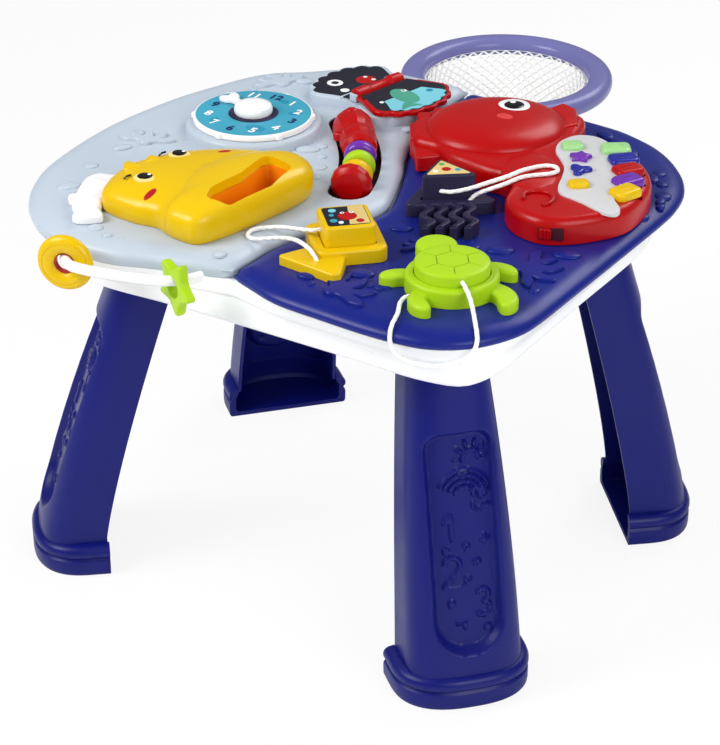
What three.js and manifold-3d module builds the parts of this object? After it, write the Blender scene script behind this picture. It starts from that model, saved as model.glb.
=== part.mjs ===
// Children's activity table: a moulded tray on four legs, with sea toys on two deck covers.
// Millimetres, +Z up, +X to the right along the long side and +Y to the back, where the ball
// hoop is. Places are measured from the floor under the middle of the table top, and the last
// lines move the origin to the floor under the middle of the whole part, hoop and rod included.

import * as THREE from 'three';
import { mergeVertices, mergeGeometries } from 'three/addons/utils/BufferGeometryUtils.js';
import Module from 'manifold-3d';

const wasm = await Module();
wasm.setup();

// Fits and running gaps
const seatGap = 0.3;
const runningGap = 0.6;
const keyGap = 0.5;
const cutOverrun = 4;

// Table top
const tableWidth = 478;
const tableDepth = 430;
const deckTop = 328;
const lagoonRise = 4;
const coverEdgeHeight = 12;
const coverShoulderHeight = 8;
const coverShoulderWidth = 17;
const coverTuck = 3;
const coverWall = 2.6;
const coverSplitGap = 0.5;
const trayHeight = 34;
const trayInset = 3.5;
const trayWall = 3;
const trayFootRadius = 5;
const trayFootReach = 4;
const stageRadius = 4;
const stageRoot = 3;

// Screws that hold the covers down from below the tray, their places in the outline's shares
const screwRadius = 1.8;
const screwHeadRadius = 4;
const screwHeadHeight = 2;
const screwBossRadius = 5;
const screwBite = 9;
const screwSides = 8;
const screwShares = [[0.42, 0.62], [0.3, -0.78], [-0.42, 0.68], [-0.3, -0.76]];

// The top's outline, as shares of half its width and half its depth: the reef side runs
// from the front seam round the right to the back seam, and the lagoon side on from there
// round the left to the front seam again.
const reefEdgeShares = [
  [0.015, -0.875], [0.12, -0.92], [0.23, -0.96], [0.4, -0.975], [0.565, -0.985], [0.685, -0.98],
  [0.78, -0.96], [0.865, -0.905], [0.93, -0.825], [0.98, -0.705], [0.992, -0.585], [0.99, -0.35],
  [0.985, 0.06], [0.98, 0.335], [0.97, 0.47], [0.94, 0.6], [0.88, 0.72], [0.79, 0.83],
  [0.7, 0.905], [0.6, 0.955], [0.5, 0.985], [0.3, 1], [0.1, 1], [-0.113, 0.99],
];
const lagoonEdgeShares = [
  [-0.113, 0.99], [-0.3, 0.985], [-0.45, 0.965], [-0.6, 0.89], [-0.71, 0.78], [-0.8, 0.7],
  [-0.86, 0.6], [-0.915, 0.44], [-0.965, 0.26], [-1, 0.03], [-1.01, -0.15], [-1, -0.34],
  [-0.975, -0.53], [-0.935, -0.66], [-0.87, -0.79], [-0.78, -0.905], [-0.66, -0.985], [-0.5, -1.02],
  [-0.38, -1.015], [-0.25, -0.965], [-0.12, -0.925], [0.015, -0.875],
];
// The tray's outline at its foot, in the same shares
const trayFootShares = [
  [0.05, -0.885], [0.43, -0.885], [0.64, -0.89], [0.74, -0.885], [0.84, -0.86], [0.88, -0.8],
  [0.9, -0.68], [0.895, -0.45], [0.885, -0.1], [0.88, 0.2], [0.87, 0.4], [0.83, 0.56],
  [0.75, 0.7], [0.62, 0.81], [0.45, 0.88], [0.2, 0.9], [-0.1, 0.89], [-0.4, 0.85],
  [-0.58, 0.76], [-0.7, 0.63], [-0.79, 0.5], [-0.85, 0.33], [-0.89, 0.1], [-0.9, -0.12],
  [-0.88, -0.35], [-0.84, -0.55], [-0.77, -0.72], [-0.66, -0.84], [-0.5, -0.9], [-0.26, -0.89], [-0.1, -0.885],
];
// The seam between the two covers, front to back, in the same shares
const seamShares = [
  [0.015, -0.875], [0.021, -0.77], [0.027, -0.628], [0.077, -0.458], [0.152, -0.288],
  [0.177, -0.168], [0.157, -0.068], [0.077, 0.142], [0.017, 0.272], [-0.053, 0.472],
  [-0.093, 0.672], [-0.11, 0.85], [-0.113, 0.99],
];

// Legs
const legReachX = tableWidth * 0.36;
const legReachY = tableDepth * 0.321;
const legTurnDegrees = 41.2;
const footWidth = 112;
const footDepth = 63;
const footHeight = 27;
const footGroove = 1.6;
const footGrooveShare = 0.62;
const footLipInset = 2.56;
const footFlatShare = 0.25;
const footRoundness = 0.8;
const legWidthBottom = 94;
const legWidthTop = 60;
const legSwell = 5;
const legDepthBottom = 55;
const legDepthTop = 47;
const legFootSetback = 2;
const legFlatShare = 0.42;
const legRoundness = 0.72;
const legLeanLeft = 74;
const legLeanRight = 58;
const legWall = 3.2;
const panelWidth = 58;
const panelHeight = 172;
const panelBottom = 44;
const panelDepth = 4;

// Clock
const clockX = -129;
const clockY = 31;
const clockBossRadius = 57;
const clockBossHeight = 9;
const clockRimRadius = 50.5;
const clockRimHeight = 5;
const clockFaceRadius = 46;
const clockFaceDepth = 1;
const clockPostRadius = 9;
const clockNubCount = 6;
const clockNubRadius = 5;
const clockRingRadius = 20.5;
const clockHubRadius = 16.5;
const clockHubHeight = 9;
const clockHandLength = 47;
const clockHandWidth = 26;
const clockHandThickness = 3.4;
const clockHandTurnDegrees = 160;
const clockHubDomeHeight = 7.2;
const clockHubDomeReach = 9.9;
// The arm's outline from neck to flukes, as shares of its length and its width
const clockHandShares = [
  [0.2, -0.17], [0.66, -0.17], [0.72, -0.36], [0.86, -0.5], [1, -0.42], [0.93, -0.08],
  [1, 0.38], [0.86, 0.5], [0.72, 0.34], [0.66, 0.17], [0.2, 0.17],
];
const labelThickness = 0.5;
const labelLift = 0.1;

// Flip page
const pageHingeX = -75;
const pageHingeY = 140;
const pageTurnDegrees = -11.8;
const pageBlockWidth = 122;
const pageBlockDepth = 92;
const pageBlockHeight = 9;
const pageWidth = 62;
const pageDepth = 90;
const pageThickness = 4.6;
const pageBarrelRadius = 6.4;
const pageBarrelLength = 54;
const pageEarLength = 3;
const pageEarRadius = 3.6;
const pagePinRadius = 1.6;
const pageLobes = 9;
const pageLobeDepth = 2.6;
const pageLabelInset = 4;
const pageRoot = 4.5;
// The book's outline: where its spine ends, where its scallops start, and how far they sweep
const bookSpineShare = 0.34;
const bookShoulderShare = 0.18;
const bookShoulderSpread = 1.12;
const bookSweep = Math.PI * 0.42;
const bookRoundness = 0.7;
// The barrel's outline from end to end, as shares of its half length and its radius
const pageWaistShares = [[-1, 0.9], [-0.94, 1], [-0.55, 1], [-0.45, 0.8], [0.45, 0.8], [0.55, 1], [0.94, 1], [1, 0.9]];

// Shrimp bead rail
const railBeadRadius = 13.5;
const railBeadWidth = 11;
const railBeadEdgeShare = 0.8;
const railBeadFlatShare = 0.4;
const railRadius = 4.2;
const railDepth = 3;
const railPocketWidth = 35;
const railPocketDepth = 12.6;
const railPocketWall = 2.4;
const railBodyRadius = 13;
// Centre line of the rail from head to tail, in millimetres on the table
const railLine = [[-68, 84], [-50, 65], [-33, 45], [-20, 27], [-9, 8], [0, -11], [7, -31]];
const railBeadShares = [0.555, 0.69, 0.825];
// How thick the head and the tail are along the rail, as shares of the body's radius
const shrimpHeadShares = [0.72, 1.1, 1.2, 1.1, 1.18, 1.06, 1.02];
const shrimpTailShares = [0.95, 1.2, 1.28, 1.15, 0.8];
const shrimpTailGap = 1.8;

// Ring rod on the front edge: it leaves the edge near the left corner, bows out and returns
const rodLeftX = tableWidth * -0.2615;
const rodLeftY = tableDepth * -0.5163;
const rodSpan = 112;
const rodReach = 36;
const rodDrop = 4;
const rodRise = 3;
const rodRadius = 4.2;
const rodHoleGap = 0.8;
// Points of its centre line: along the span, out from the edge, and up from its roots
const rodSteps = 18;
const rodShares = [
  [-0.03, -0.26, 0], [0, 0, 0], [0.04, 0.3, 0.45], [0.12, 0.62, 0.8], [0.21, 0.8, 1], [0.32, 0.8, 1], [0.44, 0.74, 1],
  [0.56, 0.66, 1], [0.68, 0.56, 1], [0.78, 0.46, 1], [0.87, 0.32, 0.95], [0.94, 0.1, 0.7],
  [0.985, -0.16, 0.3], [1.01, -0.42, 0],
];
const ringOuterRadius = 22.6;
const ringInnerRadius = 7.8;
const ringThickness = 11;
const ringShare = 0.215;
const ringTurnDegrees = 17;
const starRadius = 23;
const starNotchShare = 0.64;
const starHoleRadius = 8.6;
const starThickness = 8;
const starEdgeRadius = 1.6;
const starShare = 0.86;
const starTurnDegrees = -25;
const starPhaseDegrees = 64;

// Ball hoop
const hoopX = -34;
const hoopSetback = 75;
const hoopY = tableDepth / 2 + hoopSetback;
const hoopRadius = 84;
const hoopTubeWidth = 22;
const hoopTubeHeight = 17;
const hoopDrop = 18;
const hoopArmWidth = 58;
const hoopArmHeight = 12;
const hoopArmReach = 20;
const netTopRadius = 71.3;
const netDrop = 1;
const netBottomRadius = 46;
const netHeight = 92;
const netMeshes = 18;
const netRows = 3;
const netCordWidth = 2;
const netCordThickness = 1.8;

// Seahorse music unit
const musicHeight = 22;
const musicShoulder = 5;
const musicWall = 2.4;
const musicBaseThickness = 2;
const musicX = 109;
const musicY = 72;
const musicWidth = 240;
const musicDepth = 204;
const headX = musicX - musicWidth * 0.1625;
const headY = musicY + musicDepth * 0.1765;
const headWidth = 103;
const headDepth = 115;
const headHeight = 12;
const headShoulder = 9;
const headShoulderReach = 11.7;
const curlX = musicX + musicWidth * 0.2708;
const curlY = musicY - musicDepth * 0.3873;
const curlRadius = 36;
const curlHeight = 4;
const curlShoulder = 6;
const curlShoulderReach = 8;
const bezelThickness = 1.6;
const keyTravel = 2;
const keyRise = 3.6;
const keyWidth = 23;
const keyDepth = 14;
const buttonRise = 2.6;
const buttonRadius = 8;
const buttonStem = 4;
const buttonLobeShare = 0.14;
const buttonSides = 20;
const keyStemWidth = 8;
const boardThickness = 1.6;
const boardLift = 6;
const speakerRadius = 19;
const speakerHeight = 7;
const batteryRadius = 7.2;
const batteryLength = 50;
const switchTravel = 5.9;
const switchWidth = 10;
const switchHeight = 9.4;
const switchProud = 1.6;
const switchDepth = 8;
const switchX = musicX + musicWidth * 0.3229;
const switchY = musicY - musicDepth * 0.4824;
const switchRise = 9.7;
const switchTurnDegrees = 21;
const doorWidth = 56;
const doorDepth = 34;
// The casing's outline, as shares of half its width and depth about its middle
const musicShares = [
  [0.97, -0.13], [0.985, -0.42], [0.93, -0.61], [0.82, -0.8], [0.69, -0.94], [0.55, -0.99],
  [0.37, -0.93], [0.23, -0.78], [0.16, -0.58], [0.04, -0.39], [-0.12, -0.38], [-0.3, -0.34],
  [-0.45, -0.3], [-0.6, -0.2], [-0.77, -0.19], [-0.87, -0.06], [-0.95, 0.12], [-0.9, 0.3],
  [-0.97, 0.42], [-0.82, 0.6], [-0.7, 0.8], [-0.55, 0.92], [-0.36, 0.97], [-0.16, 0.99],
  [0.0, 0.95], [0.07, 0.84], [0.14, 0.58], [0.26, 0.57], [0.42, 0.53], [0.6, 0.46],
  [0.74, 0.36], [0.86, 0.2], [0.93, 0.05],
];
// The white keyboard bezel, in the same shares
const bezelShares = [
  [0.94, -0.56], [0.8, -0.62], [0.66, -0.57], [0.5, -0.53], [0.41, -0.36], [0.33, -0.14],
  [0.22, 0.03], [0.14, 0.22], [0.13, 0.42], [0.2, 0.55], [0.32, 0.57], [0.42, 0.5],
  [0.46, 0.4], [0.55, 0.25], [0.645, 0.07], [0.7, -0.15], [0.73, -0.27], [0.84, -0.32],
];
// Each key: place across and along in those shares, and its turn in degrees
const keyShares = [
  [0.5, 0.41, 35], [0.625, 0.26, 45], [0.73, 0.1, 55], [0.81, -0.08, 64], [0.875, -0.27, 72],
];
const keyNames = ['key_green', 'key_blue', 'key_red', 'key_purple', 'key_yellow'];
const buttonShares = [
  [0.23, 0.28, 0], [0.365, 0.12, 0], [0.465, -0.1, 0], [0.565, -0.34, 0],
];
const buttonNames = ['button_green', 'button_star', 'button_clover', 'button_yellow'];
const buttonSidesShares = [[1.1, 0.9], [1, 1], [1.05, 1], [1.1, 0.85]];

// Yellow puffer fish
const pufferX = -81;
const pufferY = -108;
const pufferWidth = 136;
const pufferDepth = 148;
const pufferHeight = 27;
const pufferShoulder = 13;
const pufferShoulderReach = 16.9;
const pufferInnerShoulder = 10.4;
const pufferWall = 2.6;
const pufferMouthX = 45;
const pufferMouthY = -7;
const pufferMouthTurnDegrees = 5;
const pufferMouthWidth = 19;
const pufferMouthLength = 86;
const pufferMouthDepth = 16;
const pufferMouthTaper = 5;
const pufferLipRise = 4;
const pufferLipUndercut = 8;
const finThickness = 7;
const throatWall = 1.6;
const pufferShares = [
  [-1.01, -0.22], [-0.94, -0.57], [-0.76, -0.83], [-0.31, -0.905], [0.02, -0.875], [0.22, -0.945],
  [0.42, -0.96], [0.58, -0.93], [0.69, -0.78], [0.78, -0.5], [0.86, -0.12], [0.94, 0.36],
  [0.93, 0.66], [0.78, 0.86], [0.5, 0.98], [0.2, 1], [-0.15, 0.86], [-0.485, 0.64], [-0.8, 0.3], [-0.96, 0],
];
const lipShares = [
  [0.22, -0.945], [0.44, -1.01], [0.66, -1], [0.79, -0.84], [0.89, -0.53], [0.98, -0.12],
  [1.06, 0.38], [1.03, 0.7], [0.84, 0.92], [0.53, 1.02], [0.22, 0.82], [0.02, 0.56],
  [-0.09, 0.27], [-0.13, -0.05], [-0.05, -0.35], [0.1, -0.63],
];
const finShares = [
  [-1.05, -0.15], [-1.22, -0.17], [-1.35, -0.22], [-1.4, -0.37], [-1.33, -0.56], [-1.2, -0.82],
  [-1.08, -1], [-0.93, -1.08], [-0.8, -1.05], [-0.76, -0.9], [-0.85, -0.7], [-0.92, -0.45],
];

// Sorter toys, each a loose block in a frame that is fixed to the deck
const sorterFloor = 1.6;
const fishX = 59.5;
const fishY = -116;
const fishTurnDegrees = 44;
const fishFrameSize = 56;
const fishFrameCorner = 8;
const fishFrameHeight = 12;
const fishBlockSize = 40;
const fishBlockHeight = 28;
const fishTailHeight = 8;
const fishTailWidth = 57;
const fishTailDepth = 35;
const blockLabelBorder = 2.6;
const blockEdge = 1.2;
const jellyX = 82;
const jellyY = -6;
const jellyBlockSize = 45;
const jellyBlockHeight = 31;
const jellyFrameRatio = 1.72;
const jellyFrameCorner = 8;
const jellyFrameHeight = 11;
const jellyFrameEdge = 2;
const armCount = 4;
const armLength = 50;
const armWidth = 5.8;
const armPitch = 11.2;
const armSway = 7;
const armHeadingDegrees = -55.5;
const armStart = 14;
const turtleX = 162;
const turtleY = -129;
const turtleRingRadius = 35.5;
const turtleRingHeight = 14;
const turtleBlockRadius = 28.5;
const turtleBlockHeight = 22;
const turtleBlockEdge = 1.5;
const turtleHeadRadius = 16;
const turtleHeadReach = 34.5;
const turtleHeadTurnDegrees = 141;
const flipperHeight = 9;
const flipperRoot = 30;
const flipperEdge = 2;
const flipperBendShare = 0.9;
// Half widths of a flipper from root to tip, as shares of its width
const flipperHalfShares = [0.5, 0.47, 0.42, 0.35, 0.2];
// Each flipper: the angle of its root and of its tip, how far out the tip is, and its width
const flippers = [[70, 43, 49, 17], [-163, -149, 53, 17], [6, -18, 60, 19], [-102, -77, 55, 16]];

// Cords that tie each block to its frame, each as points along its centre line in millimetres
const cordRadius = 1.75;
const cordSides = 8;
const cordStep = 9.4;
const cordHoleRadius = 2.9;
const cordHoleLead = 4.5;
const fishCordLine = [
  [48, -127.6, 346.5], [44.2, -130, 346.4], [38.5, -132.3, 345.3], [28.5, -131.5, 343.2],
  [17, -129, 340.4], [5, -127, 337.4], [-4.5, -128, 335], [-11, -132, 334.2],
  [-13.3, -138.5, 334.1], [-11.8, -145, 334.1], [-7, -149.5, 334.2], [0, -149.7, 334.9],
  [9, -147.3, 336.8], [19, -146.7, 339.6], [29, -148.2, 342.2], [39, -150.9, 343.8],
  [48, -154, 343.3], [54.9, -156.2, 341], [59, -157.4, 337.6], [62.2, -158.2, 333.7],
];
const jellyCordLine = [
  [79, -16.5, 345.5], [85, -17.8, 345.9], [90.5, -17.6, 346.4], [95.5, -15, 347],
  [100, -11.4, 347.9], [104.3, -7.6, 349], [108.7, -3.7, 350.4], [113.2, 0.2, 352.2],
  [117.6, 4.2, 353.8], [121.6, 9, 355], [124.9, 15, 355.7], [127, 22, 355.9], [128.6, 33, 355.2],
  [130.6, 42.5, 353.9], [133.2, 50.3, 353.1], [138.4, 56.4, 352.8], [145.4, 57.2, 352.8],
  [150, 51.4, 352.8], [147.6, 44, 352.8], [141.5, 37.6, 352.8], [135.5, 31, 352.8],
  [131.6, 23.5, 352.9], [129.2, 15.8, 352.7], [126.2, 8.6, 351.8], [121.6, 3.2, 350.2],
  [115.8, -0.3, 347.6], [110, -2.7, 344.5], [106, -5.2, 341], [103.8, -7.8, 336.8],
];
const turtleCordLine = [
  [178.5, -145, 346.6], [182.6, -148.8, 346.5], [188, -153.4, 345.6], [194, -158.2, 342.6],
  [199.5, -163.2, 338.2], [204.5, -168.6, 333.8], [209.2, -174.4, 331], [213.9, -180.3, 328.3],
  [217.3, -185.4, 323.8], [217.5, -189.2, 318.6], [215.2, -192.2, 314.3], [210.8, -195, 310.7],
  [205, -198.8, 307.8], [197.4, -203.2, 306.1], [187.4, -207.4, 305.3], [178, -210.2, 306.1],
  [170.5, -212.4, 308.5], [165, -213.6, 313], [161.4, -213.6, 318.6], [159.4, -211.2, 324.6],
  [157.5, -205.6, 329.2], [155.2, -197.5, 330.4], [151.8, -188.4, 330.3], [147.8, -180.4, 330.4],
  [145.2, -174, 331.4], [146.6, -168.8, 333.4], [151, -164.6, 334.3],
];

// Shared helpers: solids, outlines and small shapes
const table = new THREE.Group();
const up = new THREE.Vector3(0, 0, 1);
const radians = THREE.MathUtils.degToRad;

// A closed mesh with shared vertices, no flat triangles and its faces pointing out
function cleaned(geometry) {
  const bare = geometry.clone();
  for (const key of Object.keys(bare.attributes)) {
    if (key !== 'position') bare.deleteAttribute(key);
  }
  bare.clearGroups();
  const merged = mergeVertices(bare);
  const source = merged.index.array;
  const places = merged.attributes.position;
  const corners = [0, 1, 2].map(() => new THREE.Vector3());
  const kept = [];
  let volume = 0;
  for (let i = 0; i < source.length; i += 3) {
    const [a, b, c] = [source[i], source[i + 1], source[i + 2]];
    if (a === b || b === c || c === a) continue;
    kept.push(a, b, c);
    [a, b, c].forEach((index, k) => corners[k].fromBufferAttribute(places, index));
    volume += corners[0].dot(corners[1].clone().cross(corners[2]));
  }
  if (volume < 0) {
    for (let i = 0; i < kept.length; i += 3) [kept[i], kept[i + 1]] = [kept[i + 1], kept[i]];
  }
  merged.setIndex(kept);
  return merged;
}

function solidOf(geometry) {
  const closed = cleaned(geometry);
  return new wasm.Manifold(new wasm.Mesh({
    numProp: 3,
    vertProperties: new Float32Array(closed.attributes.position.array),
    triVerts: new Uint32Array(closed.index.array),
  }));
}

function geometryOf(solid) {
  const mesh = solid.getMesh();
  const geometry = new THREE.BufferGeometry();
  geometry.setAttribute('position', new THREE.Float32BufferAttribute(mesh.vertProperties, 3));
  geometry.setIndex(Array.from(mesh.triVerts));
  return geometry;
}

function join(first, ...others) {
  return geometryOf(others.reduce((whole, next) => whole.add(solidOf(next)), solidOf(first)));
}

function cut(first, ...tools) {
  return geometryOf(tools.reduce((whole, tool) => whole.subtract(solidOf(tool)), solidOf(first)));
}

function common(first, second) {
  return geometryOf(solidOf(first).intersect(solidOf(second)));
}

// Moves a geometry to a place on the table, turned about the vertical in degrees
function placed(geometry, x, y, z, turnDegrees = 0) {
  return geometry.clone().rotateZ(radians(turnDegrees)).translate(x, y, z);
}

function add(name, geometry, colour, roughness = 0.4, metalness = 0) {
  const shape = cleaned(geometry);
  shape.computeVertexNormals();
  const material = new THREE.MeshStandardMaterial({ color: colour, roughness, metalness, flatShading: true });
  const mesh = new THREE.Mesh(shape, material);
  mesh.name = name;
  table.add(mesh);
  return mesh;
}

// Turns a table of shares into points about a middle
function scaled(shares, width, depth, x = 0, y = 0) {
  return shares.map(([across, along]) => new THREE.Vector2(x + across * width / 2, y + along * depth / 2));
}

// A smooth closed outline through the points
function smoothLoop(points, count) {
  const corners = points.map((p) => new THREE.Vector3(p.x, p.y, 0));
  const curve = new THREE.CatmullRomCurve3(corners, true, 'centripetal');
  return curve.getSpacedPoints(count).slice(0, count).map((p) => new THREE.Vector2(p.x, p.y));
}

// A smooth open line through the points
function smoothLine(points, count) {
  const corners = points.map((p) => new THREE.Vector3(p.x, p.y, 0));
  const curve = new THREE.CatmullRomCurve3(corners, false, 'centripetal');
  return curve.getSpacedPoints(count).map((p) => new THREE.Vector2(p.x, p.y));
}

function roundLoop(radius, sides, phaseDegrees = 0) {
  return Array.from({ length: sides }, (_, k) => {
    const angle = radians(phaseDegrees) + k * 2 * Math.PI / sides;
    return new THREE.Vector2(radius * Math.cos(angle), radius * Math.sin(angle));
  });
}

// A rectangle or other convex polygon with rounded corners
function roundedLoop(corners, radius, steps) {
  const points = THREE.ShapeUtils.isClockWise(corners) ? [...corners].reverse() : corners;
  const loop = [];
  points.forEach((corner, k) => {
    const before = points[(k + points.length - 1) % points.length].clone().sub(corner).normalize();
    const after = points[(k + 1) % points.length].clone().sub(corner).normalize();
    const half = Math.acos(THREE.MathUtils.clamp(before.dot(after), -1, 1)) / 2;
    const middle = corner.clone().addScaledVector(before.clone().add(after).normalize(), radius / Math.sin(half));
    const start = corner.clone().addScaledVector(before, radius / Math.tan(half)).sub(middle);
    const turn = (Math.PI - 2 * half) / steps;
    for (let i = 0; i <= steps; i += 1) {
      loop.push(start.clone().rotateAround(new THREE.Vector2(), i * turn).add(middle));
    }
  });
  return loop;
}

function boxLoop(width, depth) {
  return [[-1, -1], [1, -1], [1, 1], [-1, 1]].map(([a, b]) => new THREE.Vector2(a * width / 2, b * depth / 2));
}

// The furthest that a sharp corner is drawn out, and how near a moved point may come
const sharpestCorner = 0.5;
const nearestShare = 0.97;

// The loop moved inwards by a distance, or outwards by a negative one. A point that would
// cross over near a tight corner joins the nearest point of the loop that doesn't.
function inset(loop, distance) {
  const inward = THREE.ShapeUtils.isClockWise(loop) ? -distance : distance;
  const moved = loop.map((point, k) => {
    const before = loop[(k + loop.length - 1) % loop.length];
    const after = loop[(k + 1) % loop.length];
    const first = point.clone().sub(before).normalize();
    const second = after.clone().sub(point).normalize();
    const normal = new THREE.Vector2(-first.y - second.y, first.x + second.x).normalize();
    const stretch = 1 / Math.max(sharpestCorner, normal.dot(new THREE.Vector2(-second.y, second.x)));
    return point.clone().addScaledVector(normal, inward * stretch);
  });
  const reach = Math.abs(distance) * nearestShare;
  const sound = moved.map((point) => loop.every((start, k) => gapTo(point, start, loop[(k + 1) % loop.length]) >= reach));
  if (!sound.includes(true)) return moved;
  return moved.map((point, k) => {
    for (let step = 0; ; step += 1) {
      const [ahead, behind] = [(k + step) % moved.length, (k + moved.length - step) % moved.length];
      if (sound[ahead]) return moved[ahead].clone();
      if (sound[behind]) return moved[behind].clone();
    }
  });
}

// Distance from a point to a stretch of line
function gapTo(point, start, end) {
  const along = end.clone().sub(start);
  const share = THREE.MathUtils.clamp(point.clone().sub(start).dot(along) / along.lengthSq(), 0, 1);
  return point.distanceTo(start.clone().addScaledVector(along, share));
}

// A closed solid through rings of equal point counts, the first and last filled flat
function loft(givenRings) {
  const clockwise = THREE.ShapeUtils.isClockWise(givenRings[0]);
  const rings = clockwise ? givenRings.map((ring) => [...ring].reverse()) : givenRings;
  const count = rings[0].length;
  const positions = [];
  const index = [];
  rings.forEach((ring) => ring.forEach((p) => positions.push(p.x, p.y, p.z)));
  for (let r = 0; r + 1 < rings.length; r += 1) {
    for (let k = 0; k < count; k += 1) {
      const next = (k + 1) % count;
      const [a, b] = [r * count + k, r * count + next];
      index.push(a, b, b + count, a, b + count, a + count);
    }
  }
  const flat = (ring) => ring.map((p) => new THREE.Vector2(p.x, p.y));
  THREE.ShapeUtils.triangulateShape(flat(rings[0]), []).forEach(([a, b, c]) => index.push(a, c, b));
  const last = (rings.length - 1) * count;
  THREE.ShapeUtils.triangulateShape(flat(rings[rings.length - 1]), []).forEach(([a, b, c]) => {
    index.push(last + a, last + b, last + c);
  });
  const geometry = new THREE.BufferGeometry();
  geometry.setAttribute('position', new THREE.Float32BufferAttribute(positions, 3));
  geometry.setIndex(index);
  return geometry;
}

const lift = (loop, z) => loop.map((p) => new THREE.Vector3(p.x, p.y, z));

// Inset and height of each ring round a quarter circle, from the wall to the flat
function quarter(width, height, steps) {
  return Array.from({ length: steps + 1 }, (_, k) => {
    const angle = k / steps * Math.PI / 2;
    return [width * (1 - Math.cos(angle)), height * Math.sin(angle)];
  });
}

// A plate on a loop, with an optional rounded top edge and rounded bottom edge
function slab(loop, bottom, top, topRound = 0, bottomRound = 0, steps = 3, topWidth = topRound) {
  const rings = [];
  if (bottomRound > 0) {
    quarter(bottomRound, bottomRound, steps).reverse()
      .forEach(([side, rise]) => rings.push(lift(inset(loop, side), bottom + bottomRound - rise)));
  } else {
    rings.push(lift(loop, bottom));
  }
  if (topRound > 0) {
    quarter(topWidth, topRound, steps)
      .forEach(([side, rise]) => rings.push(lift(inset(loop, side), top - topRound + rise)));
  } else {
    rings.push(lift(loop, top));
  }
  return loft(rings);
}

// A round post
function drum(radius, bottom, top, sides = 24) {
  return slab(roundLoop(radius, sides), bottom, top);
}

// A box on its middle
function block(width, depth, bottom, top) {
  return slab(boxLoop(width, depth), bottom, top);
}

// A tube of round section along a smooth line of points
function tube(points, radius, sides, steps) {
  const section = new THREE.Shape(roundLoop(radius, sides));
  const path = new THREE.CatmullRomCurve3(points, false, 'centripetal');
  return new THREE.ExtrudeGeometry(section, { steps, bevelEnabled: false, extrudePath: path });
}

// A straight round bar between two points
function bar(from, to, radius, sides = 12) {
  const length = from.distanceTo(to);
  const geometry = new THREE.CylinderGeometry(radius, radius, length, sides);
  const turn = new THREE.Quaternion().setFromUnitVectors(new THREE.Vector3(0, 1, 0), to.clone().sub(from).normalize());
  const middle = from.clone().add(to).multiplyScalar(1 / 2);
  return geometry.applyQuaternion(turn).translate(middle.x, middle.y, middle.z);
}

// Table top: the tray and its two deck covers
const lagoonTop = deckTop + lagoonRise;
const coverBottom = deckTop - coverEdgeHeight;
const trayTop = coverBottom - seatGap;
const trayBottom = trayTop - trayHeight;
const reefEdge = smoothLine(scaled(reefEdgeShares, tableWidth, tableDepth), 30);
const lagoonEdge = smoothLine(scaled(lagoonEdgeShares, tableWidth, tableDepth), 26);
const seam = smoothLine(scaled(seamShares, tableWidth, tableDepth), 14);
const topLoop = [...reefEdge.slice(0, -1), ...lagoonEdge.slice(0, -1)];
const lagoonLoop = [...seam.slice(0, -1), ...lagoonEdge.slice(0, -1)];
const seamSteps = seam.map((point, k) => {
  const along = seam[Math.min(k + 1, seam.length - 1)].clone().sub(seam[Math.max(k - 1, 0)]).normalize();
  return point.clone().add(new THREE.Vector2(along.y, -along.x).multiplyScalar(coverSplitGap));
});
const reefLoop = [...reefEdge.slice(1, -1), ...seamSteps.reverse()];

// Wall rings of a cover: tucked in at the bottom, full size, then the rounded shoulder
function coverRings(loop, top, shrink, bottom, steps) {
  const rings = [lift(inset(loop, shrink + coverTuck), bottom)];
  const height = coverShoulderHeight;
  quarter(coverShoulderWidth, height, steps)
    .forEach(([side, rise]) => rings.push(lift(inset(loop, shrink + side), top - height + rise)));
  return rings;
}

function coverShell(loop, top) {
  const outer = loft(coverRings(loop, top, 0, coverBottom, 3));
  const inner = loft(coverRings(loop, top - coverWall, coverWall, coverBottom - cutOverrun, 1));
  return { outer, inner };
}

// The point of an outline that lies in the same direction from the middle as a given point
function inDirection(outline, point) {
  const crossings = outline.map((start, k) => {
    const along = outline[(k + 1) % outline.length].clone().sub(start);
    const share = start.cross(point) / point.cross(along);
    return { share, place: start.clone().addScaledVector(along, share) };
  });
  return crossings.find(({ share, place }) => share >= 0 && share <= 1 && place.dot(point) > 0).place;
}

function makeTray() {
  const wallLoop = inset(topLoop, trayInset);
  const footOutline = smoothLoop(scaled(trayFootShares, tableWidth, tableDepth), wallLoop.length);
  const footLoop = inset(wallLoop.map((point) => inDirection(footOutline, point)), -trayFootReach);
  const outer = loft([
    lift(inset(footLoop, trayFootRadius), trayBottom),
    lift(inset(footLoop, trayFootRadius / 3), trayBottom + trayFootRadius / 3),
    lift(footLoop, trayBottom + trayFootRadius),
    lift(wallLoop, trayTop),
  ]);
  const inner = loft([
    lift(inset(footLoop, trayWall + trayFootRadius / 2), trayBottom + trayWall),
    lift(inset(wallLoop, trayWall), trayTop + cutOverrun),
  ]);
  const hole = drum(screwRadius + seatGap, -cutOverrun, trayWall + cutOverrun, screwSides);
  const holes = screwPlaces.map(([x, y]) => placed(hole, x, y, trayBottom));
  return cut(outer, inner, ...holes);
}

const screwPlaces = screwShares.map(([a, b]) => [a * tableWidth / 2, b * tableDepth / 2]);

// A boss under a cover, from the tray floor up into the cover's plate, with a screw hole
function screwBoss(x, y, top) {
  const foot = trayBottom + trayWall + seatGap;
  return placed(cut(
    drum(screwBossRadius, foot, top - coverWall / 2, screwSides),
    drum(screwRadius + seatGap, foot - cutOverrun, foot + screwBite, screwSides),
  ), x, y, 0);
}

function makeScrew(x, y) {
  const headTop = trayBottom - seatGap;
  const tip = headTop + trayWall + screwBite - seatGap;
  const shank = drum(screwRadius, headTop - screwHeadHeight / 2, tip, screwSides);
  return placed(join(drum(screwHeadRadius, headTop - screwHeadHeight, headTop, 10), shank), x, y, 0);
}

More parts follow.
